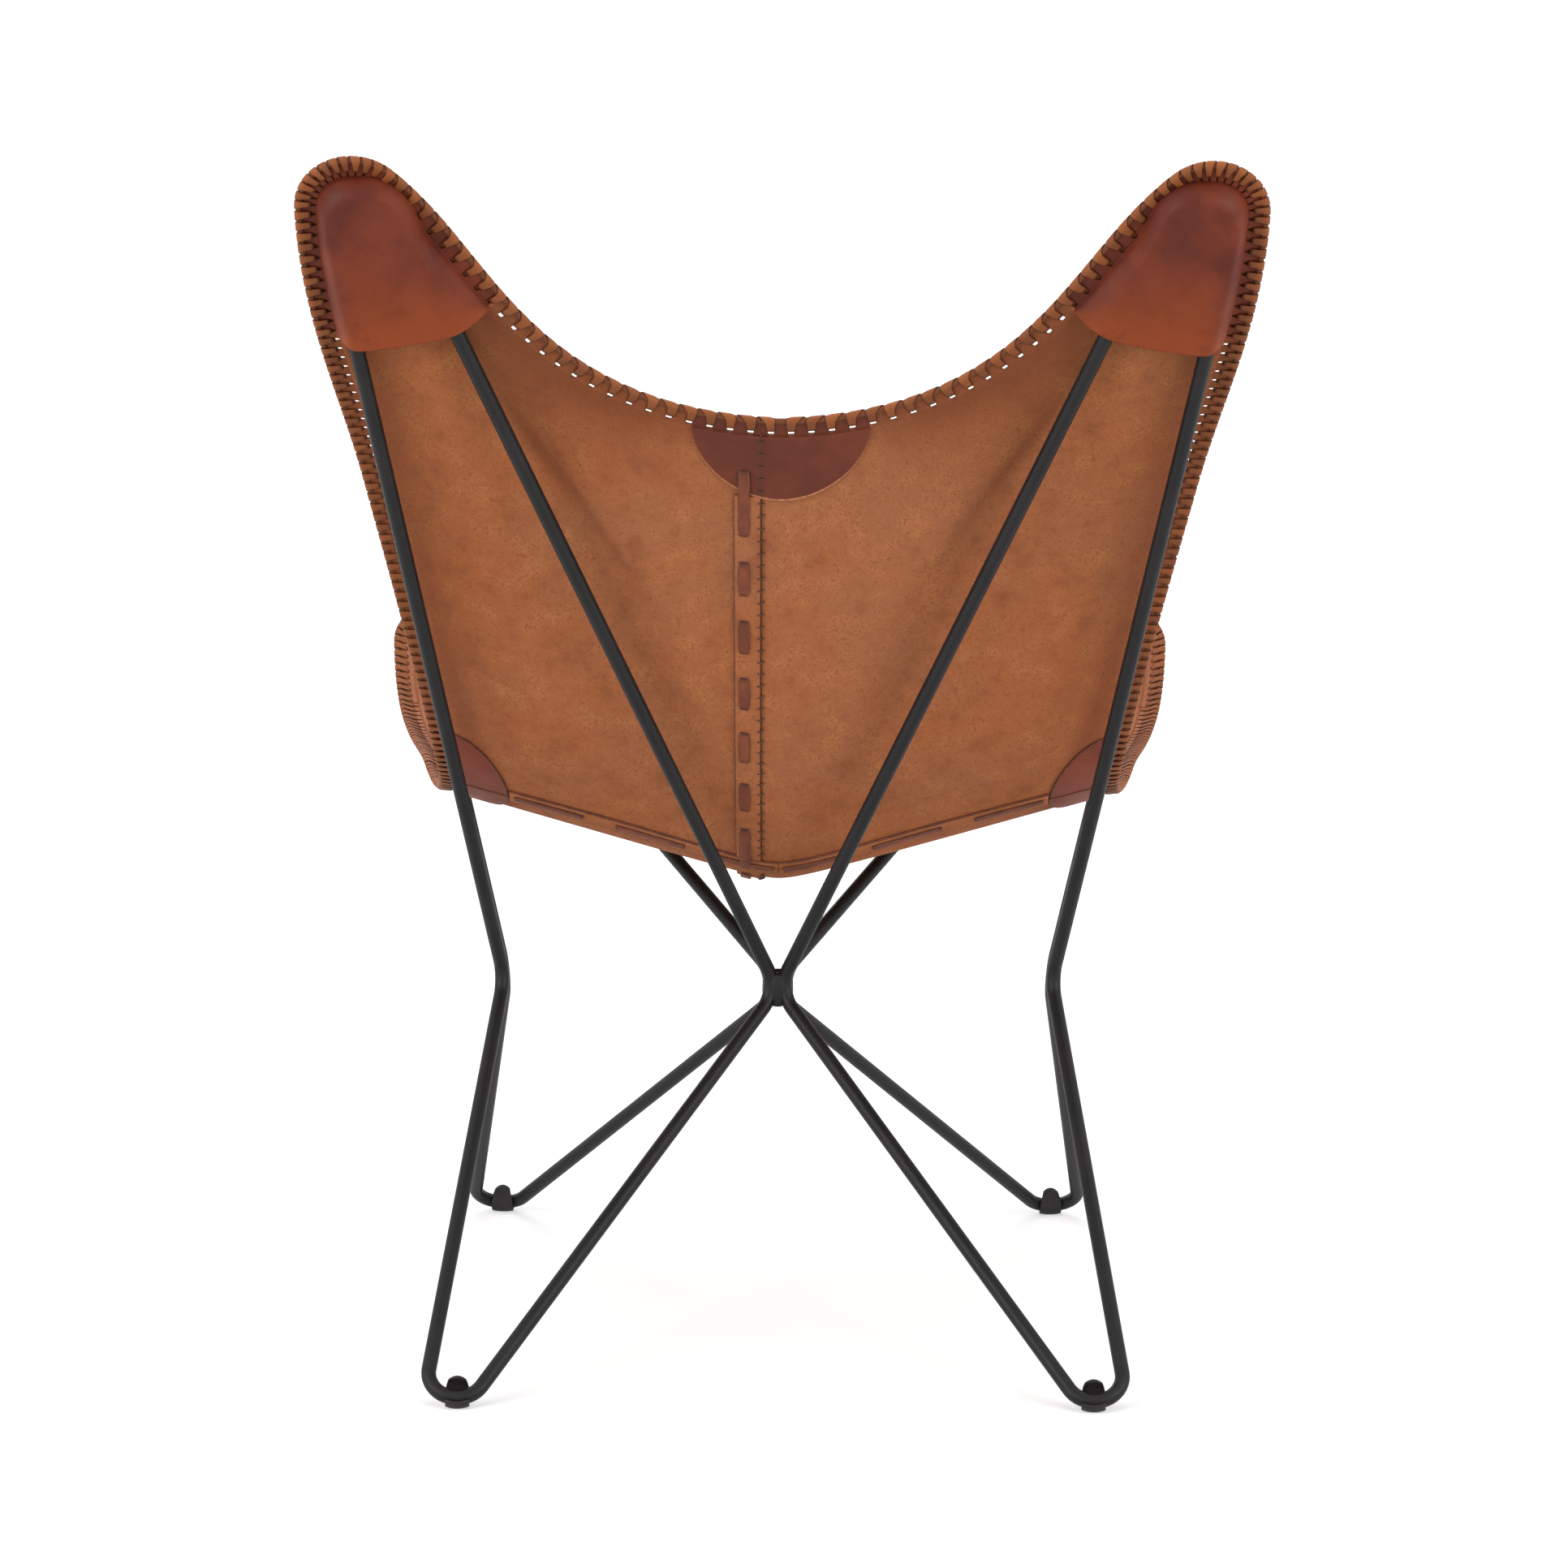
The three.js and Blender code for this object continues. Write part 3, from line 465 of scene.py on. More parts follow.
class Edge:
    """Half the sling's outline at one end: a Bezier dip, a round tip and a Bezier side, by its length."""

    shapes = {
        1: dict(middle=504.5, dip=176, run=104.6, shoulder=47.2, flare=-1.1, side=127, waist=220,
                slack=8.9, shift=6.3, allowance=9.2),
        -1: dict(middle=FRONT_MIDDLE, dip=115, run=110, shoulder=42, flare=4, side=140, waist=90,
                 slack=5, shift=3, allowance=20),
    }

    def __init__(self, end):
        self.end, size = end, self.shapes[end]
        centre, outward, self.rod = PINS[end]
        tip = centre + size["slack"] * outward + [size["shift"], 0]
        radius = HAIRPIN_RADIUS + ROD_RADIUS + size["allowance"]
        shoulder, flare = np.radians(size["shoulder"]), np.radians(size["flare"])
        angle = np.linspace(np.pi - shoulder, -flare, 300)[:, None]
        arc = tip + radius * np.concatenate([np.cos(angle), end * np.sin(angle)], 1)
        inner, outer = arc[0], arc[-1]
        t = np.linspace(0, 1, 600)[:, None]
        bezier = lambda a, b, c, d: (
            (1 - t) ** 3 * a + 3 * t * (1 - t) ** 2 * b + 3 * t * t * (1 - t) * c + t**3 * d
        )
        dip = bezier(
            np.array([0, end * size["middle"]]),
            np.array([size["dip"], end * size["middle"]]),
            inner - size["run"] * np.array([np.sin(shoulder), end * np.cos(shoulder)]),
            inner,
        )
        side = bezier(
            outer,
            outer - size["side"] * np.array([np.sin(flare), end * np.cos(flare)]),
            np.array([SLING_WAIST, CROSS_SEAM + end * size["waist"]]),
            np.array([SLING_WAIST, CROSS_SEAM]),
        )
        self.line = np.concatenate([dip, arc[1:], side[1:]])
        steps = np.linalg.norm(np.diff(self.line, axis=0), axis=1)
        self.run = np.concatenate([[0], np.cumsum(steps)])
        self.way = unit(np.gradient(self.line, self.run, axis=0))
        self.length = self.run[-1]
        self.tip = (self.run[len(dip) - 1] + self.run[len(dip) + len(arc) - 2]) / 2
        self.pocket = self.tip - POCKET_RUN[end][0], self.tip + POCKET_RUN[end][1]
        round_tip = smooth(self.run, self.tip - 85, self.tip - 15)
        past_tip = smooth(self.run, self.tip + 30, self.tip + 100)
        pitch = LACE_PITCH * (1 - TIP_CLOSER * round_tip + SIDE_LOOSER * past_tip)
        count = np.concatenate([[0], np.cumsum(steps / pitch[1:])])
        self.stitches = round(count[-1])
        self.count = count * self.stitches / count[-1]

    def after(self, stitches):
        """Way along the edge after a number of stitches; they lie closer round the tip and down the side."""
        return np.sign(stitches) * np.interp(np.abs(stitches), self.count, self.run)

    def at(self, distance, inset):
        """Point at a distance from the centre, moved in square to the edge; below zero it is mirrored."""
        s = np.abs(distance)
        pick = lambda table: np.interp(s, self.run, table)
        x = pick(self.line[:, 0]) + inset * self.end * pick(self.way[:, 1])
        w = pick(self.line[:, 1]) - inset * self.end * pick(self.way[:, 0])
        return np.where(np.asarray(distance) < 0, -x, x), w

    def gap(self, x, w):
        """Distance of points on the pattern from the edge."""
        return nearest(x, w, self.line[::4])

    def rod_gap(self, x, w):
        """Distance of points on the pattern from the middle line of the hairpin's rod."""
        return nearest(x, w, self.rod)


EDGES = {"rear": Edge(1), "front": Edge(-1)}


def cross_seam(x):
    """The seam between back and seat on the pattern: level at the sides, drawn forward at the centre."""
    return CROSS_SEAM - CROSS_DRAW * np.exp(-((x / 100) ** 2))


def panel_place(edge, side, u, v):
    """Coons patch on the pattern: rows between seam and edge plus columns, less the corners' blend."""
    mix = lambda a, b, t: a + (b - a) * t
    from_seam = side * SEAM_X
    top_x, top_w = edge.at(mix(from_seam, edge.tip, u), INNER_RIM)
    side_x, side_w = edge.at(mix(edge.length, edge.tip, v), INNER_RIM)
    corner_x, corner_w = edge.at(np.array(edge.tip), INNER_RIM)
    foot_x = edge.at(np.array(edge.length), INNER_RIM)[0]
    head_w = edge.at(np.array(SEAM_X), INNER_RIM)[1]
    low_x = mix(from_seam + SEAM_GAP, foot_x, u)
    low_w = cross_seam(low_x) + edge.end * CROSS_GAP
    middle_x, middle_w = from_seam + SEAM_GAP, mix(low_w[0, 0], head_w, v)
    x = mix(low_x, top_x, v) + mix(middle_x, side_x, u) - mix(low_x, mix(middle_x, corner_x, u), v)
    corners = mix(mix(low_w[0, 0], low_w[0, -1], u), mix(head_w, corner_w, u), v)
    w = mix(low_w, top_w, v) + mix(middle_w, side_w, u) - corners
    return x, w


def from_legs(edge, x, w):
    """Distance across the pattern from the inner and the outer leg of the hairpin, towards the centre."""
    legs = edge.rod[:LEG_STEPS], edge.rod[: -LEG_STEPS - 1 : -1]
    return [np.interp(edge.end * w, edge.end * leg[:, 1], leg[:, 0]) - np.abs(x) for leg in legs]


def from_crease(from_leg, w):
    """Distance from the crease beside the inner leg, which leans away from it below the crease's head."""
    return from_leg + CREASE_OFF - CREASE_LEAN * np.maximum(0, CREASE_HEAD - np.abs(w))


def drape(x, w):
    """The give of the back: it bellies out between the rods, which lie in soft grooves; a crease runs down
    from each pocket beside its inner leg, and long shallow waves lie over all."""
    edge = EDGES["rear"]
    free = smooth(np.abs(x), 38, 75) * smooth(w, 85, 170) * smooth(edge.gap(np.abs(x), w), 22, 80)
    belly = -BELLY * (1 - np.exp(-((edge.rod_gap(np.abs(x), w) / GROOVE_WIDTH) ** 2))) * free
    crest = from_crease(from_legs(edge, x, w)[0], w)
    height, width = ROD_CREASE
    crease = height * np.exp(-((crest / width) ** 2)) * smooth(w, 260, 440) * (1 - smooth(w, 640, 690))
    wave = WAVE * np.sin(x / 61 + w / 83) * np.exp(-(((w - 300) / 170) ** 2)) * free
    return belly + crease + wave


def painted_shade_and_wear(edge, x, w):
    """How far the leather is darkened: painted shade beside each leg of the hairpin on the centre's side
    and under the upper edge between the pocket and the centre; along its edge partly painted shade, partly
    wear."""
    inner, outer = from_legs(edge, x, w)
    # Painted shade where the rods and the crease shade the leather.
    shade_and_burnish, width = CREASE_SHADE
    mark = shade_and_burnish * np.exp(-((from_crease(inner, w) / width) ** 2)) * smooth(np.abs(w), 250, 480)
    shade_and_burnish, width = OUTER_ROD_SHADE
    mark = np.maximum(mark, shade_and_burnish * np.exp(-((outer / width) ** 2)))
    mark = np.maximum(np.exp(-edge.gap(x, w) / EDGE_SHADE_AND_WEAR_WIDTH), mark)
    upper = smooth(inner, -6, 22) * smooth(np.abs(w), 400, 540) * smooth(np.abs(x), 40, 110)
    return np.clip(mark + UPPER_EDGE_SHADE * upper * (edge.end > 0), 0, 1)


def punched_band(edge, side):
    """The skived edge: a grid by length and inset, six columns to a stitch, without the holes' faces. With
    it come the length at each face and at each column."""
    columns = STITCH_COLUMNS * (edge.stitches - side) + 1
    s = edge.after(np.linspace(side, edge.stitches, columns))
    inset = np.array([3.4, 5.6, 8.2, *HOLE, BAND])
    x, w = edge.at(s[:, None], inset[None, :])
    faces = quads(x)
    column, row = np.divmod(np.arange(len(faces)), len(inset) - 1)
    solid = ~((row == 3) & np.isin(column % STITCH_COLUMNS, (2, 3)))
    return x, w, faces[solid], s[column[solid]], s


def outside_out(made, end):
    """Turns a sheet so that its face points away from the sitter."""

    def turn(work):
        if sum((f.normal.y * end - f.normal.z) * f.calc_area() for f in work.faces) < 0:
            bmesh.ops.reverse_faces(work, faces=work.faces)

    rework(made.data, turn)
    return made


def two_sided(made, thickness_mm):
    """Subdivides a sheet once and gives it its thickness, inwards from its outer face."""
    softer = made.modifiers.new("softer", "SUBSURF")
    softer.levels = softer.render_levels = 1
    thicker = made.modifiers.new("thickness", "SOLIDIFY")
    thicker.thickness = thickness_mm / 1000
    thicker.offset = -1
    thicker.material_offset = 1
    thicker.use_even_offset = False
    return made


suede, start = new_material("tan flesh side")
cloud = start.noise(130, 4.0, 0.6)
patchy = start.noise(24, 5.0, 0.62)
fleck = start.noise(1.7, 4.0, 0.7)
fibre = start.noise(5.5, 5.0, 0.78)
dark_fleck = fleck.step(0.47, 0.66) * (0.4 + 0.6 * patchy.step(0.42, 0.64))
colour = cloud.step(0.3, 0.7).tint((172, 101, 60), (164, 103, 69)).under(
    (0.7 * patchy.step(0.48, 0.7), (184, 117, 72)),
    (0.6 * (1 - patchy.step(0.3, 0.5)), (142, 83, 53)),
    (0.6 * fibre.step(0.5, 0.72), (134, 78, 49)),
    (0.56 * dark_fleck, (100, 54, 34)),
    # Painted shade from the mark: beside the rods, under the upper edge, between the lace turns and behind
    # the holes; along the edge it is partly wear.
    (0.8 * start.mark("handled"), (112, 60, 37)),
)
finish(start, colour, 0.8 + 0.14 * fibre, fleck * 0.4 + fibre, 0.22, 0.16)

grain, start = new_material("tan grain side")
cloud = start.noise(110, 4.0, 0.6)
cells = start.node("TexVoronoi", {"feature": "DISTANCE_TO_EDGE"}, {"Vector": start.place, "Scale": 620.0})
crease = cells.step(0.0, 0.16)
fine = start.noise(5, 4.0)
colour = cloud.step(0.3, 0.7).tint((150, 82, 44), (170, 102, 58)).under(
    (0.4 * fine.step(0.5, 0.8), (128, 66, 34)),
    (0.25 - 0.25 * crease, (84, 42, 24)),
)
finish(start, colour, 0.42 + 0.16 * fine, crease, 0.12, 0.3)

pocket_leather, start = new_material("waxed red brown grain")
cloud = start.noise(62, 4.0, 0.6)
bloom = start.noise(26, 5.0, 0.65)
pores = start.noise(1.0, 2.0)
colour = cloud.step(0.34, 0.66).tint((86, 33, 22), (116, 50, 28)).under(
    # The mark makes the pockets lighter and redder towards the hem, and the side patches redder.
    (0.8 * start.mark("handled"), (144, 64, 24)),
    (0.45 * bloom.step(0.5, 0.75), (96, 38, 22)),
    (0.35 * pores.step(0.6, 0.8), (66, 28, 18)),
)
finish(start, colour, 0.42 + 0.24 * bloom, pores * 0.5 + bloom, 0.1, 0.2)

patch_leather, start = new_material("dark purple brown grain")
cloud = start.noise(48, 4.0, 0.6)
pores = start.noise(1.1, 2.0)
colour = cloud.step(0.34, 0.68).tint((96, 48, 36), (112, 57, 40)).under(
    (0.35 * pores.step(0.58, 0.8), (74, 36, 29)),
)
finish(start, colour, 0.45 + 0.2 * cloud, pores, 0.08, 0.14)

SLING_MATERIALS = [suede, grain, pocket_leather, grain, patch_leather, grain]
PANELS = {"rear": "back", "front": "seat"}
panels, cuts = {}, {}


def spread(grid):
    """Area in square metres of a grid in millimetres: half the cross product of each cell's diagonals."""
    one, other = grid[1:, 1:] - grid[:-1, :-1], grid[1:, :-1] - grid[:-1, 1:]
    return np.linalg.norm(np.cross(one, other), axis=-1).sum() / 2e6


for end_name, edge in EDGES.items():
    for side_name, side in SIDES.items():
        u, v = np.meshgrid(np.linspace(0, 1, 49), np.linspace(0, 1, 57))
        x, w = panel_place(edge, side, u, v)
        sheet = hang(side * x, w, BACK_FACE + drape(side * x, w) * (edge.end > 0))
        bx, bw, band_faces, band_s, column_s = punched_band(edge, side)
        band = hang(side * bx, bw, BACK_FACE + BAND_STEP)
        first, last = edge.pocket
        ls = np.linspace(first - LINER_PAST, last + LINER_PAST, 90)[:, None]
        lx, lw = edge.at(ls, np.array([LINER]))
        liner = hang(side * lx, lw, BACK_FACE + LINER_STEP)
        points = np.concatenate([grid.reshape(-1, 3) for grid in (sheet, band, liner)])
        faces = [quads(u), band_faces + u.size, quads(lx) + u.size + bx.size]
        under_pocket = (band_s > first) & (band_s < last)
        under_patch = (np.abs(band_s) < END_PATCH[0]) | (band_s > edge.length - SIDE_PATCH[0])
        kind = [np.zeros(len(faces[0])), 2 * under_pocket + 4 * under_patch, np.zeros(len(faces[2]))]
        kind, faces = np.concatenate(kind), np.concatenate(faces)
        # Marks: painted shade and wear on the sheet; on the band outside the pockets, painted shade between
        # the lace turns and wear at the edge; the liner is darkened fully as painted shade behind the holes.
        bare = np.repeat((column_s < first) | (column_s > last), bx.shape[1])
        shade_wear_and_tone = np.concatenate([painted_shade_and_wear(edge, x, w).ravel(), BAND_SHADE_AND_WEAR * bare, np.ones(lx.size)])
        name = f"{PANELS[end_name]}_{side_name}_leather"
        made = piece(name, points, faces, SLING_MATERIALS, handled=shade_wear_and_tone)
        made.data.polygons.foreach_set("material_index", kind.astype(np.int32))
        full = made.vertex_groups.new(name="full")
        full.add(list(range(u.size)), 1.0, "REPLACE")
        full.add(list(range(u.size, u.size + bx.size)), BAND_SHARE, "REPLACE")
        thicker = two_sided(outside_out(made, edge.end), LEATHER).modifiers["thickness"]
        thicker.vertex_group, thicker.thickness_vertex_group = "full", LINER_SHARE
        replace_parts(made, f"{PANELS[end_name]}_panel_{side_name}")
        panels[end_name, side_name] = made
        flat = np.stack([x, w, 0 * x], -1)
        rim = np.stack([bx, bw, 0 * bx], -1)
        size = np.ptp(np.concatenate([flat.reshape(-1, 3), rim.reshape(-1, 3)]), axis=0)[:2] / 1000
        cuts[end_name, side_name] = size, spread(flat) + spread(rim)

# Pockets: cups of waxed leather laced into the rim behind the hairpins, which they slip over.
# The leather lies flat along the rim, climbs round the rod and ends in a cut hem with a slight sag.
POCKET_LEATHER = 2.2
ROD_BACK = ROD_RADIUS + 0.6 + POCKET_LEATHER
POCKET_RIM = BAND - 2.5
POCKET_PROUD = 0.4
POCKET_HOLLOW = 2.2
HEM_SAG = 9.0
CREASE = 15.5
CLIMB = 8.0
CLIMB_MIX = (0.72, 0.28)


def within(x, w, line):
    """Whether points lie inside a closed line: a level ray from each crosses it an odd number of times."""
    (ax, aw), (bx, bw) = line.T, np.roll(line, -1, 0).T
    over = (aw > w[..., None]) != (bw > w[..., None])
    fall = np.where(bw == aw, 1.0, bw - aw)
    return (over & (x[..., None] < ax + (bx - ax) * (w[..., None] - aw) / fall)).sum(-1) % 2 == 1


def pocket(edge, side):
    """Columns from rim to hem on the pattern. Between the rods the leather lies on them; outside it falls
    to the rim, on a quarter of an ellipse where rod and rim are close and on a sine where they are apart."""
    p, v = np.meshgrid(np.linspace(0, 1, 81), np.linspace(0, 1, 45))
    first, last = edge.pocket
    s = first + (last - first) * p
    rim_x, rim_w = edge.at(s, np.minimum(POCKET_RIM, edge.rod_gap(*edge.at(s, 0.0)) - CLIMB))
    ends = [edge.at(np.array(end), POCKET_RIM) for end in (first, last)]
    hem_x = ends[0][0] + (ends[1][0] - ends[0][0]) * p
    hem_w = ends[0][1] + (ends[1][1] - ends[0][1]) * p - edge.end * HEM_SAG * 4 * p * (1 - p)
    x, w = rim_x + (hem_x - rim_x) * v, rim_w + (hem_w - rim_w) * v
    to_rim, to_rod = edge.gap(x, w), edge.rod_gap(x, w)
    inside = within(x, w, edge.rod)
    crease = np.minimum(CREASE, to_rim + to_rod - CLIMB)
    apart = to_rim + to_rod - crease
    t = np.where(inside, 1.0, np.clip((to_rim - crease) / apart, 0, 1))
    close = CLIMB_MIX[0] * np.sqrt(1 - (1 - t) ** 2) + CLIMB_MIX[1] * smooth(t, 0, 1)
    climb = close + (np.sin(np.pi * t / 2) - close) * smooth(apart, 14, 50)
    hollow = POCKET_HOLLOW * inside * smooth(to_rod, 2, HAIRPIN_RADIUS)
    lift = BACK_FACE - POCKET_PROUD + (POCKET_PROUD - BACK_FACE - ROD_BACK) * climb + hollow
    hung, held, t = hang(side * x, w, lift), on_rods(side * x, w, lift, edge.end), t[..., None]
    return hung * (1 - t) + held * t


for end_name, edge in EDGES.items():
    for side_name, side in SIDES.items():
        cup = pocket(edge, side)
        name = f"{end_name}_{side_name}_pocket_cup"
        shade_wear_and_tone = smooth(np.linspace(0, 1, cup.shape[0]), 0.3, 1.0)[:, None] + np.zeros(cup.shape[1])
        made = piece(name, cup, quads(cup), [pocket_leather, suede], handled=shade_wear_and_tone)
        two_sided(outside_out(made, edge.end), POCKET_LEATHER)
        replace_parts(made, f"{end_name}_pocket_{side_name}")
        bed = [panels[end_name, side_name]]
        spread(cup)

# Patches: half-moons of grain leather glued and sewn over the four ends of the seams, dark at the centre
# and redder at the sides. The cut edge shows as a thin line, pale at the centre and burnished at the sides.
PATCH_LEATHER = 1.5
PATCH_GAP = 0.2
# Mark on the patches: it reddens the side patches' grain, and darkens every patch's suede underside as
# painted shade where it lies against the panel.
PATCH_TONE_AND_SHADE = 0.4

raw_edge, start = new_material("cut leather edge")
fray = start.noise(1.6, 3.0, 0.7)
colour = fray.step(0.35, 0.7).tint((150, 88, 58), (196, 128, 86))
finish(start, colour, 0.85, fray, 0.12)
# Dark edge: burnishing on cut edges, and on the laps and thongs also a painted shadow line along the edge.
burnish_and_shadow_line, start = new_material("burnished edge and painted shadow line")
shade_and_burnish = start.noise(6, 4.0)
colour = shade_and_burnish.step(0.3, 0.7).tint((74, 40, 27), (112, 62, 40))
finish(start, colour, 0.6 + 0.2 * shade_and_burnish, shade_and_burnish, 0.1)


def half_moon(rim, inward, size):
    """Rows from the rim inwards: half an ellipse, by an angle's sine along the rim and its cosine across."""
    steps = np.append(np.linspace(0, 0.975, 15), 1.0)
    angle, v = np.meshgrid(np.radians(np.linspace(-87, 87, 49)), steps)
    x, w = rim(size[0] * np.sin(angle))
    depth = v * size[1] * np.cos(angle)
    return x + inward[0] * depth, w + inward[1] * depth


def sew_patch(name, node, x, w, end, leather, cut_edge):
    """A patch hung on the sling's outer face, with its own material on the cut edge, its last row."""
    moon = hang(x, w, BACK_FACE - PATCH_LEATHER - PATCH_GAP)
    faces = quads(x)
    made = piece(name, moon, faces, [leather, suede, cut_edge], handled=np.full(x.shape, PATCH_TONE_AND_SHADE))
    last_row = np.arange(len(faces)) // (x.shape[1] - 1) == x.shape[0] - 2
    made.data.polygons.foreach_set("material_index", 2 * last_row.astype(np.int32))
    two_sided(outside_out(made, end), PATCH_LEATHER)
    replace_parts(made, node)
    cut = spread(np.stack([x, w, 0 * x], -1))


def side_rim(side):
    """The inner line of the punched edge about the waist: back edge above zero, seat edge below."""

    def rim(s):
        places = [edge.at(edge.length - np.abs(s), INNER_RIM) for edge in EDGES.values()]
        (x_up, w_up), (x_out, w_out) = places
        return side * np.where(s > 0, x_up, x_out), np.where(s > 0, w_up, w_out)

    return rim


for end_name, node in {"rear": "top_patch", "front": "front_patch"}.items():
    edge = EDGES[end_name]
    x, w = half_moon(lambda s: edge.at(s, INNER_RIM), (0, -edge.end), END_PATCH)
    bed = panels[end_name, "left"]
    sew_patch(node + "_half_moon", node, x, w, edge.end, patch_leather, raw_edge)
for side_name, side in SIDES.items():
    x, w = half_moon(side_rim(side), (-side, 0), SIDE_PATCH)
    bed, node = panels["rear", side_name], f"{side_name}_side_patch"
    sew_patch(f"{side_name}_side_half_moon", node, x, w, 1, pocket_leather, burnish_and_shadow_line)

# Laps: where two panels overlap, the free edge of the upper one lies as a strip beside the seam.
# One runs down the centre of back and seat, and one lies along each half of the cross seam; the cut
# free edges are dark, from burnishing and from a painted shadow line along them.
LAP_LEATHER = 2.0
LAP_X = (14.8, 34.0)
LAP_FOOT = 12.6
LAP_TUCK = 3.0
LAP_GAP = 0.15
CROSS_LAP = 25.0
BEVEL = 0.9
SECTION = np.array(
    [[-1, 0, -0.3], [-1, 1, -1], [1, 1, -1], [1, 0, -0.3], [1, 0, 0.3], [1, 1, 1], [-1, 1, 1], [-1, 0, 0.3]]
)


def strap(x, w, half_width, lift, thickness):
    """A flat bar along a line on the pattern: eight points of a bevelled section at each of its places."""
    way = unit(np.gradient(np.stack([x, w], -1), axis=0))
    across = SECTION[:, 0] * (np.asarray(half_width)[..., None] - SECTION[:, 1] * BEVEL)
    sx, sw = x[:, None] - way[:, 1:] * across, w[:, None] + way[:, :1] * across
    return hang(sx, sw, np.asarray(lift)[..., None] + SECTION[:, 2] * thickness / 2)


def strap_piece(name, bar, material, dark=(0, 2, 3, 7), **marks):
    """A strap's mesh: its material all over, and the dark edge, burnishing and painted shadow line, on the
    dark ones of its eight faces.
    """
    faces = bar_faces(bar)
    made = facing_out(piece(name, bar, faces, [material, burnish_and_shadow_line], **marks))
    edge_face = np.isin(np.arange(len(faces)) % 8, dark)
    made.data.polygons.foreach_set("material_index", edge_face.astype(np.int32))
    return made


on_panel = {key: [] for key in panels}
lap_level = BACK_FACE - LAP_GAP - LAP_LEATHER / 2
for end_name, edge in EDGES.items():
    foot = edge.at(np.array(0.0), INNER_RIM + END_PATCH[1])[1]
    middle = sum(LAP_X) / 2
    w = np.linspace(cross_seam(middle) + edge.end * LAP_FOOT, foot + edge.end * LAP_TUCK, 120)
    x = np.full_like(w, middle)
    bar = strap(x, w, (LAP_X[1] - LAP_X[0]) / 2, lap_level, LAP_LEATHER)
    free_edge = (0, 7) if edge.end > 0 else (2, 3)
    made = strap_piece(f"{PANELS[end_name]}_seam_lap", bar, suede, free_edge)
    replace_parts(made, f"{PANELS[end_name]}_lap_strip")
    on_panel[end_name, "left"].append(made)
for side_name, side in SIDES.items():
    x = side * np.linspace(0.2, SLING_WAIST - BAND - SIDE_PATCH[1], 120)
    bar = strap(x, cross_seam(x) - 0.5, CROSS_LAP / 2, lap_level, LAP_LEATHER)
    made = strap_piece(f"{side_name}_cross_lap", bar, suede)
    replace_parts(made, f"cross_strip_{side_name}")
    on_panel["rear", side_name].append(made)

# Thongs: flat leather thongs woven through slots in the laps, out for a dash and in for a gap.
# They lock the overlaps: one on the centre seam of back and of seat, and one along each half of the cross
# seam, where the dashes are longer.
THONG_X = 26.5
BACK_RUN, SEAT_RUN = np.linspace(37, 461, 500), np.linspace(34, -236, 400)
THONG_PITCH = 54.3
THONG_DASH = 32.0
CROSS_PITCH = 78.0
CROSS_DASH = 54.0
THONG_LEATHER = 1.7
THONG_HALF_WIDTH = 4.3
THONG_PINCH = (0.7, 5.0)
SLOT_SLOPE = 1.2
SLOT_SHADE = 2.6

thong_leather, start = new_material("thong leather")
cloud = start.noise(18, 4.0)
pores = start.noise(1.0, 2.0)
colour = cloud.step(0.35, 0.65).tint((108, 55, 36), (130, 68, 44)).under(
    (0.4 * pores.step(0.58, 0.8), (80, 41, 28)),
    (0.8 * start.mark("shade"), (46, 24, 17)),
)
finish(start, colour, 0.5 + 0.2 * pores, pores, 0.1, 0.25)


def weave(place_along, dashes):
    """1 inside a dash and 0 between dashes, with a short slope where the thong goes through its slot."""
    first, last = dashes[:, 0], dashes[:, 1]
    spot = place_along[:, None]
    goes_out = smooth(spot, first - SLOT_SLOPE, first + SLOT_SLOPE)
    goes_in = smooth(spot, last - SLOT_SLOPE, last + SLOT_SLOPE)
    return (goes_out * (1 - goes_in)).max(-1)


def dashes_down(first, pitch, count, length):
    """Both ends of each dash, at even steps down from the first one's centre."""
    centres = first - pitch * np.arange(count)
    return np.stack([centres - length / 2, centres + length / 2], -1)


def woven(name, x, w, along, dashes):
    """A thong that is behind the lap in its dashes and in front of the panel between them."""
    out = weave(along, dashes)
    behind = lap_level - (LAP_LEATHER + THONG_LEATHER) / 2 - 0.1
    before = BACK_FACE + LEATHER + THONG_LEATHER / 2 + 0.2
    from_slot = np.abs(along[:, None] - dashes.ravel()).min(-1)
    width = THONG_HALF_WIDTH - THONG_PINCH[0] * np.exp(-((from_slot / THONG_PINCH[1]) ** 2))
    bar = strap(x, w, width, before + (behind - before) * out, THONG_LEATHER)
    shade = np.exp(-((from_slot / SLOT_SHADE) ** 2))[:, None] + np.zeros(bar.shape[1])
    return strap_piece(name, bar, thong_leather, shade=shade)


end_dashes = [[399.0, 459.0], [40.0, 106.0]]
back_dashes = np.concatenate([dashes_down(361.0, THONG_PITCH, 5, THONG_DASH), end_dashes])
seat_dashes = dashes_down(8.0, THONG_PITCH, 5, THONG_DASH)
for end_name, (w, dashes) in {"rear": (BACK_RUN, back_dashes), "front": (SEAT_RUN, seat_dashes)}.items():
    made = woven(f"{PANELS[end_name]}_thong", np.full_like(w, THONG_X), w, w, dashes)
    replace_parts(made, f"{PANELS[end_name]}_seam_thong")
    on_panel[end_name, "left"].append(made)
cross_dashes = dashes_down(178.0, CROSS_PITCH, 3, CROSS_DASH)
for side_name, side in SIDES.items():
    x = np.linspace(4, 206, 400)
    made = woven(f"{side_name}_cross_thong", side * x, cross_seam(x) + 2, x, cross_dashes)
    on_panel["rear", side_name].append(made)

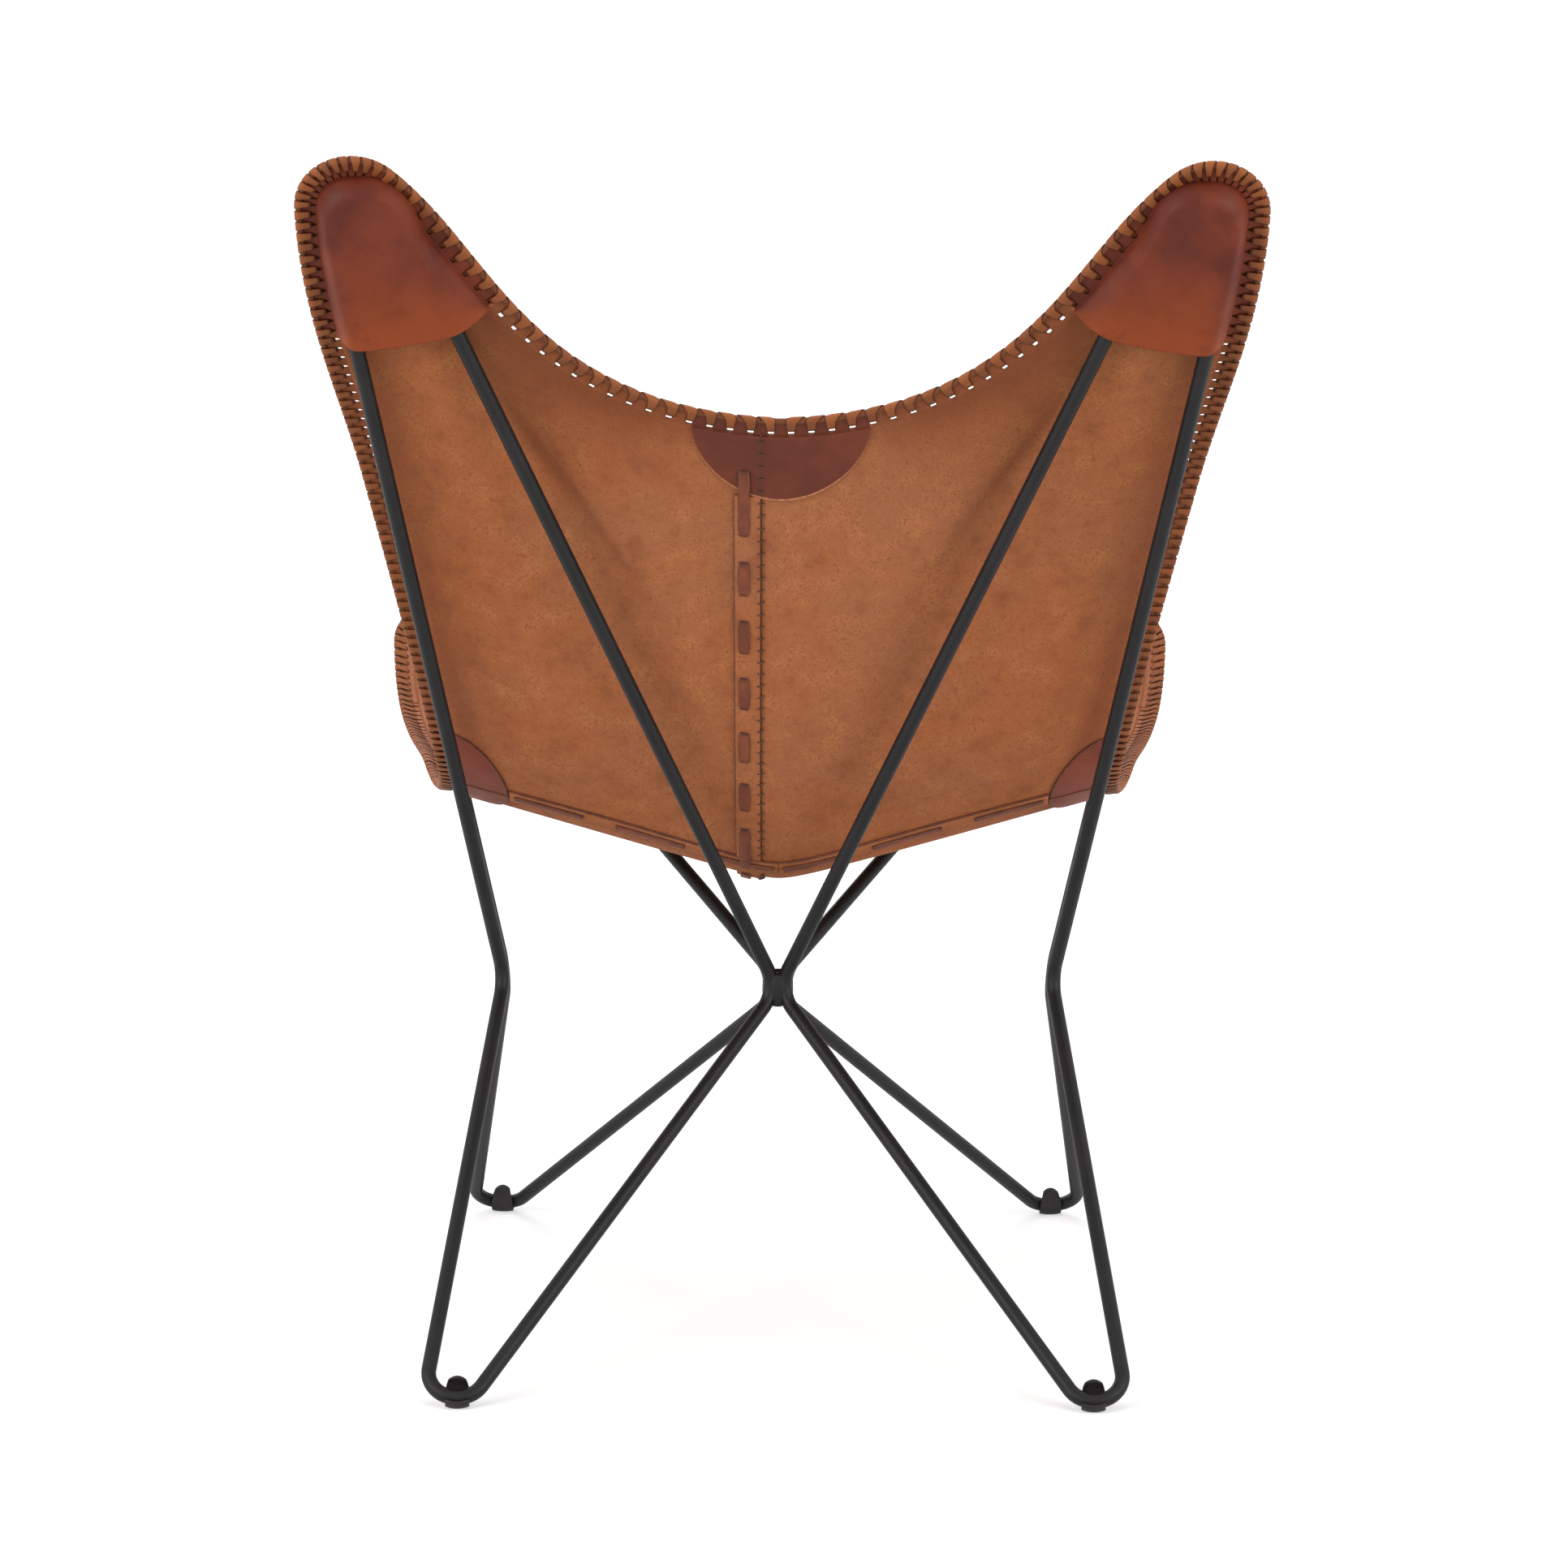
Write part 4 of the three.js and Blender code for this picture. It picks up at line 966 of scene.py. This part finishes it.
# Seam thread: waxed brown thread, one thin run along the centre seam with a cross stitch every 11 mm,
# and a straight run across each side patch where the cross seam goes under it.
THREAD = 0.5
STITCH = 11.2
STITCH_HALF = 2.7
STITCH_LEAN = 0.9
STITCH_ARCH = 0.9
LINE = 0.44 * THREAD
LINE_PROUD = 0.12
LINE_WANDER = 0.3
SEAM_END = 13.0

thread_wax, start = new_material("waxed brown thread")
twist = start.noise(0.7, 2.0)
colour = twist.step(0.3, 0.7).tint((52, 28, 19), (82, 44, 29))
finish(start, colour, 0.55, twist, 0.1)


def thread(path_x, path_w, lift, radius):
    """Round threads on the pattern: six points of a circle at each place of each stitch."""
    turn = np.linspace(0, 2 * np.pi, 6, endpoint=False)
    way_x, way_w = np.gradient(path_x, axis=-1), np.gradient(path_w, axis=-1)
    size = np.hypot(way_x, way_w)
    side_x, side_w = -way_w / size, way_x / size
    x = path_x[..., None] + side_x[..., None] * radius * np.cos(turn)
    w = path_w[..., None] + side_w[..., None] * radius * np.cos(turn)
    return hang(x, w, lift[..., None] + radius * np.sin(turn))


def many_bars(bars):
    """The faces of many like bars, one after another."""
    first = np.arange(len(bars)) * bars[0, ..., 0].size
    return (bar_faces(bars[0]) + first[:, None, None]).reshape(-1, 4)


rng = np.random.default_rng(7)
for end_name, edge in EDGES.items():
    top = edge.at(np.array(SEAM_X), BAND - 3)[1]
    last = cross_seam(SEAM_X) + edge.end * SEAM_END
    count = int(abs(top - last) // STITCH)
    middle = top - edge.end * STITCH * (np.arange(count) + 0.5)
    t = np.linspace(-1, 1, 7)[None, :]
    lean = rng.uniform(-STITCH_LEAN, STITCH_LEAN, (count, 1))
    patch_end = abs(top) - END_PATCH[1]
    on_patch = np.abs(middle)[:, None] > patch_end
    from_level = BACK_FACE - np.where(on_patch, PATCH_LEATHER + PATCH_GAP, 0)
    to_level = np.where(on_patch, from_level, lap_level - LAP_LEATHER / 2)
    lift = from_level + (to_level - from_level) * (1 + t) / 2 - STITCH_ARCH * np.sqrt(1 - t**4)
    ticks = thread(SEAM_X + STITCH_HALF * t, middle[:, None] + lean * t, lift, THREAD)
    line_w = np.linspace(top, last, 6 * count)[None, :]
    line_x = SEAM_X + LINE_WANDER * np.sin(line_w / 4.1)
    over = smooth(np.abs(line_w), patch_end - 1, patch_end + 1)
    line = thread(line_x, line_w, BACK_FACE - LINE_PROUD - (PATCH_LEATHER + PATCH_GAP / 2) * over, LINE)
    points = np.concatenate([ticks.reshape(-1, 3), line.reshape(-1, 3)])
    faces = np.concatenate([many_bars(ticks), bar_faces(line[0]) + ticks[..., 0].size])
    made = facing_out(piece(f"{PANELS[end_name]}_seam_thread", points, faces, [thread_wax]))
    on_panel[end_name, "left"].append(made)
for side_name, side in SIDES.items():
    x = side * np.linspace(SLING_WAIST - BAND - SIDE_PATCH[1] + 1, SLING_WAIST - BAND, 60)[None, :]
    w = CROSS_SEAM + 0.5 * np.sin(x / 3.1)
    run = thread(x, w, np.full_like(x, BACK_FACE - PATCH_LEATHER - 2 * PATCH_GAP), THREAD)[0]
    made = facing_out(piece(f"{side_name}_patch_thread", run, bar_faces(run), [thread_wax]))
    on_panel["rear", side_name].append(made)

# Lacing: a flat leather lace whipped over a corded edge, through holes 14 mm apart, 8 mm round the tips.
# Each turn lies straight behind, goes over the edge at a slant and runs down in front to the next hole;
# it joins panels, pockets and patches.
CORD = (3.2, 0.8, 2.3)
LACE_LEATHER = 1.0
LACE_INSET = np.array([11.8, 11.2, 9.2, 6.2, 3.2, 1.18, 0.35, 1.18, 3.2, 6.2, 9.2, 11.2, 11.8])
LACE_LIFT = np.array([0.8, -0.45, -0.9, -1.45, -2.05, -1.22, 0.8, 2.82, 3.65, 3.05, 2.5, 2.05, 0.9])
LACE_ALONG = np.array([0, 0, 0, 0.1, 0.4, 1.2, 2.8, 4.8, 6.8, 9.2, 11.6, 13.4, 14])
LACE_HALF_WIDTH = np.array([2.4, 2.8, 3.2, 3.5, 4.1, 5.3, 6.1, 5.6, 4.5, 3.8, 3.4, 2.9, 2.4])
LACE_SECTION = np.array([[-1, 0], [-0.74, -1], [0.74, -1], [1, 0], [0.74, 1], [-0.74, 1]])
LACE_ROOM = 0.47
LACE_TONE, RIDGE_TONE, TONE_SPREAD = 0.42, 0.12, 0.09
# The cord is seen only between the turns; its dark value there is painted shade.
CORD_SHADE = 0.22
EDGE_END = 0.2

lace_leather, start = new_material("lace leather")
cloud = start.noise(40, 3.0)
pores = start.noise(0.9, 2.0)
# Low marks are painted shade: the lace's side edges, its ends in the holes, and the cord between the turns.
colour = start.mark("tone").tint((50, 23, 15), (188, 107, 52)).under(
    (0.3 * cloud.step(0.45, 0.7), (112, 56, 33)),
    (0.35 * pores.step(0.58, 0.8), (76, 38, 24)),
)
finish(start, colour, 0.44 + 0.2 * pores, pores, 0.1, 0.24)


def lacing(edge, side, rng):
    """All turns of one panel: the path of a turn by inset, lift and way along, its section square to it.
    Its colour mark is high on the ridge and differs by the turn; it is low at the lace's edges and in the
    holes, as painted shade."""
    turn = np.arange(edge.stitches)
    hole = edge.after(turn + 0.5)[:, None, None]
    pitch = (edge.after(turn + 1) - edge.after(turn))[:, None]
    share = pitch / LACE_PITCH
    run_in, run_up = np.gradient(LACE_INSET), np.gradient(LACE_LIFT)
    size = np.hypot(run_in, run_up)
    half_width = np.minimum(LACE_HALF_WIDTH * share**0.4, LACE_ROOM * pitch)
    across = LACE_SECTION[:, 0] * half_width[..., None]
    thick = LACE_SECTION[:, 1] * LACE_LEATHER / 2
    inset = LACE_INSET[:, None] + (run_up / size)[:, None] * thick
    lift = LACE_LIFT[:, None] - (run_in / size)[:, None] * thick
    loose = rng.uniform(0.9, 1.02, hole.shape)
    skew = rng.uniform(-0.4, 0.4, hole.shape)
    s = hole + (LACE_ALONG * share)[..., None] + across * loose + skew
    s = np.clip(s, -edge.length, edge.length - EDGE_END)
    x, w = edge.at(s, inset)
    raised = BACK_FACE + lift + rng.uniform(-0.1, 0.1, hole.shape)
    ridge = np.exp(-((LACE_INSET / 1.6) ** 2))[:, None]
    # Painted shade: the section's side edges and the path's ends in the holes are darkened.
    face = np.abs(LACE_SECTION[:, 1]) * (1 - smooth(LACE_INSET, 9.4, 11.6))[:, None]
    by_turn = rng.uniform(-TONE_SPREAD, TONE_SPREAD, hole.shape)
    tones = np.clip((LACE_TONE + RIDGE_TONE * ridge) * face + by_turn, 0.04, 1)
    return hang(side * x, w, raised), tones


def edge_cord(edge, side):
    """A round core along the rim: ten points of a circle, in inset and lift, at each step of the edge."""
    s = np.linspace(side * SEAM_X, edge.length - EDGE_END, 260)[:, None]
    turn = np.linspace(0, 2 * np.pi, 10, endpoint=False)[None, :]
    inset, lift, radius = CORD
    x, w = edge.at(s, inset + radius * np.cos(turn))
    return hang(side * x, w, BACK_FACE + lift + radius * np.sin(turn))


for (end_name, side_name), panel in panels.items():
    edge, side = EDGES[end_name], SIDES[side_name]
    turns, tones = lacing(edge, side, rng)
    name = f"{PANELS[end_name]}_{side_name}_lacing"
    made = facing_out(piece(name, turns, many_bars(turns), [lace_leather], tone=tones))
    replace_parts(made, f"{PANELS[end_name]}_laced_rim_{side_name}")
    core = edge_cord(edge, side)
    name = f"{PANELS[end_name]}_{side_name}_edge_cord"
    core_tone = np.full(core.shape[:2], CORD_SHADE)
    cord = facing_out(piece(name, core, bar_faces(core), [lace_leather], tone=core_tone))
    size, cut = cuts[end_name, side_name]

# The set: a pale floor that keeps the chair's shadow, soft light from large lamps, and the camera.
# Floor and backdrop glow white for the eye and in reflections; what lights the chair is the lamps.
FLOOR_HALF = 40.0
FLOOR_GLOW = (0.42, 0.58, 1.02)
SKY_LIGHT = 0.26
PHOTO_WIDTH = 1932
FOCAL_LENGTH = 5620.66
CENTRE_SHIFT = 6.2
CAMERA_TILT, CAMERA_ROLL = 0.1684, 0.0058
CAMERA_BACK, CAMERA_HEIGHT = 3.4548, 1.0001
LOOK_AT = np.array([0, 0, 0.5])

floor_mesh = bpy.data.meshes.new("floor")
floor_corners = [(a * FLOOR_HALF, b * FLOOR_HALF, 0) for a, b in ((-1, -1), (1, -1), (1, 1), (-1, 1))]
floor_mesh.from_pydata(floor_corners, [], [(0, 1, 2, 3)])
show("floor", floor_mesh)
floor_paint, start = new_material("white floor")


def seen_rays(start):
    """1 for rays from the eye, from gloss and through glass, and 0 for the rest."""
    kinds = ("Is Camera Ray", "Is Glossy Ray", "Is Transmission Ray")
    eye, gloss, glass = (start.node("LightPath", out=kind) for kind in kinds)
    return start.math("MINIMUM", eye + gloss + glass, 1.0)


far = start.node("VectorMath", {"operation": "LENGTH"}, {0: start.place}, "Value").step(1.0, 3.0)
near_glow, far_glow, strength = FLOOR_GLOW
shown = (seen_rays(start) * (near_glow + far_glow * far)).tint((0, 0, 0), (255, 255, 255))
glow = start.node("Emission", {}, {"Color": shown, "Strength": strength})
matt = start.node("BsdfDiffuse", {}, {"Color": (0.8, 0.8, 0.8, 1)})
start.node("OutputMaterial", {}, {"Surface": start.node("AddShader", {}, {0: glow, 1: matt})})
floor_mesh.materials.append(floor_paint)

world = bpy.data.worlds.new("studio")
world.use_nodes = True
world.node_tree.nodes.clear()
sky = Shade(world.node_tree)
strength = SKY_LIGHT + (1 - SKY_LIGHT) * seen_rays(sky)
backdrop = sky.node("Background", {}, {"Color": (1, 1, 1, 1), "Strength": strength})
sky.node("OutputWorld", {}, {"Surface": backdrop})
bpy.context.scene.world = world

LAMPS = {
    "left lamp": ((2.7, 2.2, 1.9), 2.6, 90),
    "right lamp": ((-2.7, 2.2, 1.9), 2.6, 80),
    "top lamp": ((0.0, -0.4, 3.4), 2.2, 42),
    "front lamp": ((0.6, -3.0, 2.0), 2.0, 30),
}
for name, (spot, size, power) in LAMPS.items():
    lamp = bpy.data.lights.new(name, "AREA")
    lamp.size, lamp.energy = size, power
    hung = show(name, lamp)
    to_chair = unit(LOOK_AT - np.array(spot))
    hung.location = spot
    hung.rotation_mode = "QUATERNION"
    hung.rotation_quaternion = Vector(to_chair).to_track_quat("-Z", "Y")

view = bpy.data.cameras.new("camera")
view.sensor_width = 36
view.lens = FOCAL_LENGTH / PHOTO_WIDTH * view.sensor_width
view.shift_x = CENTRE_SHIFT / PHOTO_WIDTH
camera = show("camera", view)
turn = Matrix.Rotation(np.pi, 4, "Z") @ Matrix.Rotation(np.pi / 2 - CAMERA_TILT, 4, "X")
turn = turn @ Matrix.Rotation(CAMERA_ROLL, 4, "Z")
camera.matrix_world = Matrix.Translation((0, WAIST_PLANE + CAMERA_BACK, CAMERA_HEIGHT)) @ turn
bpy.context.scene.camera = camera
bpy.context.scene.view_settings.view_transform = "Standard"
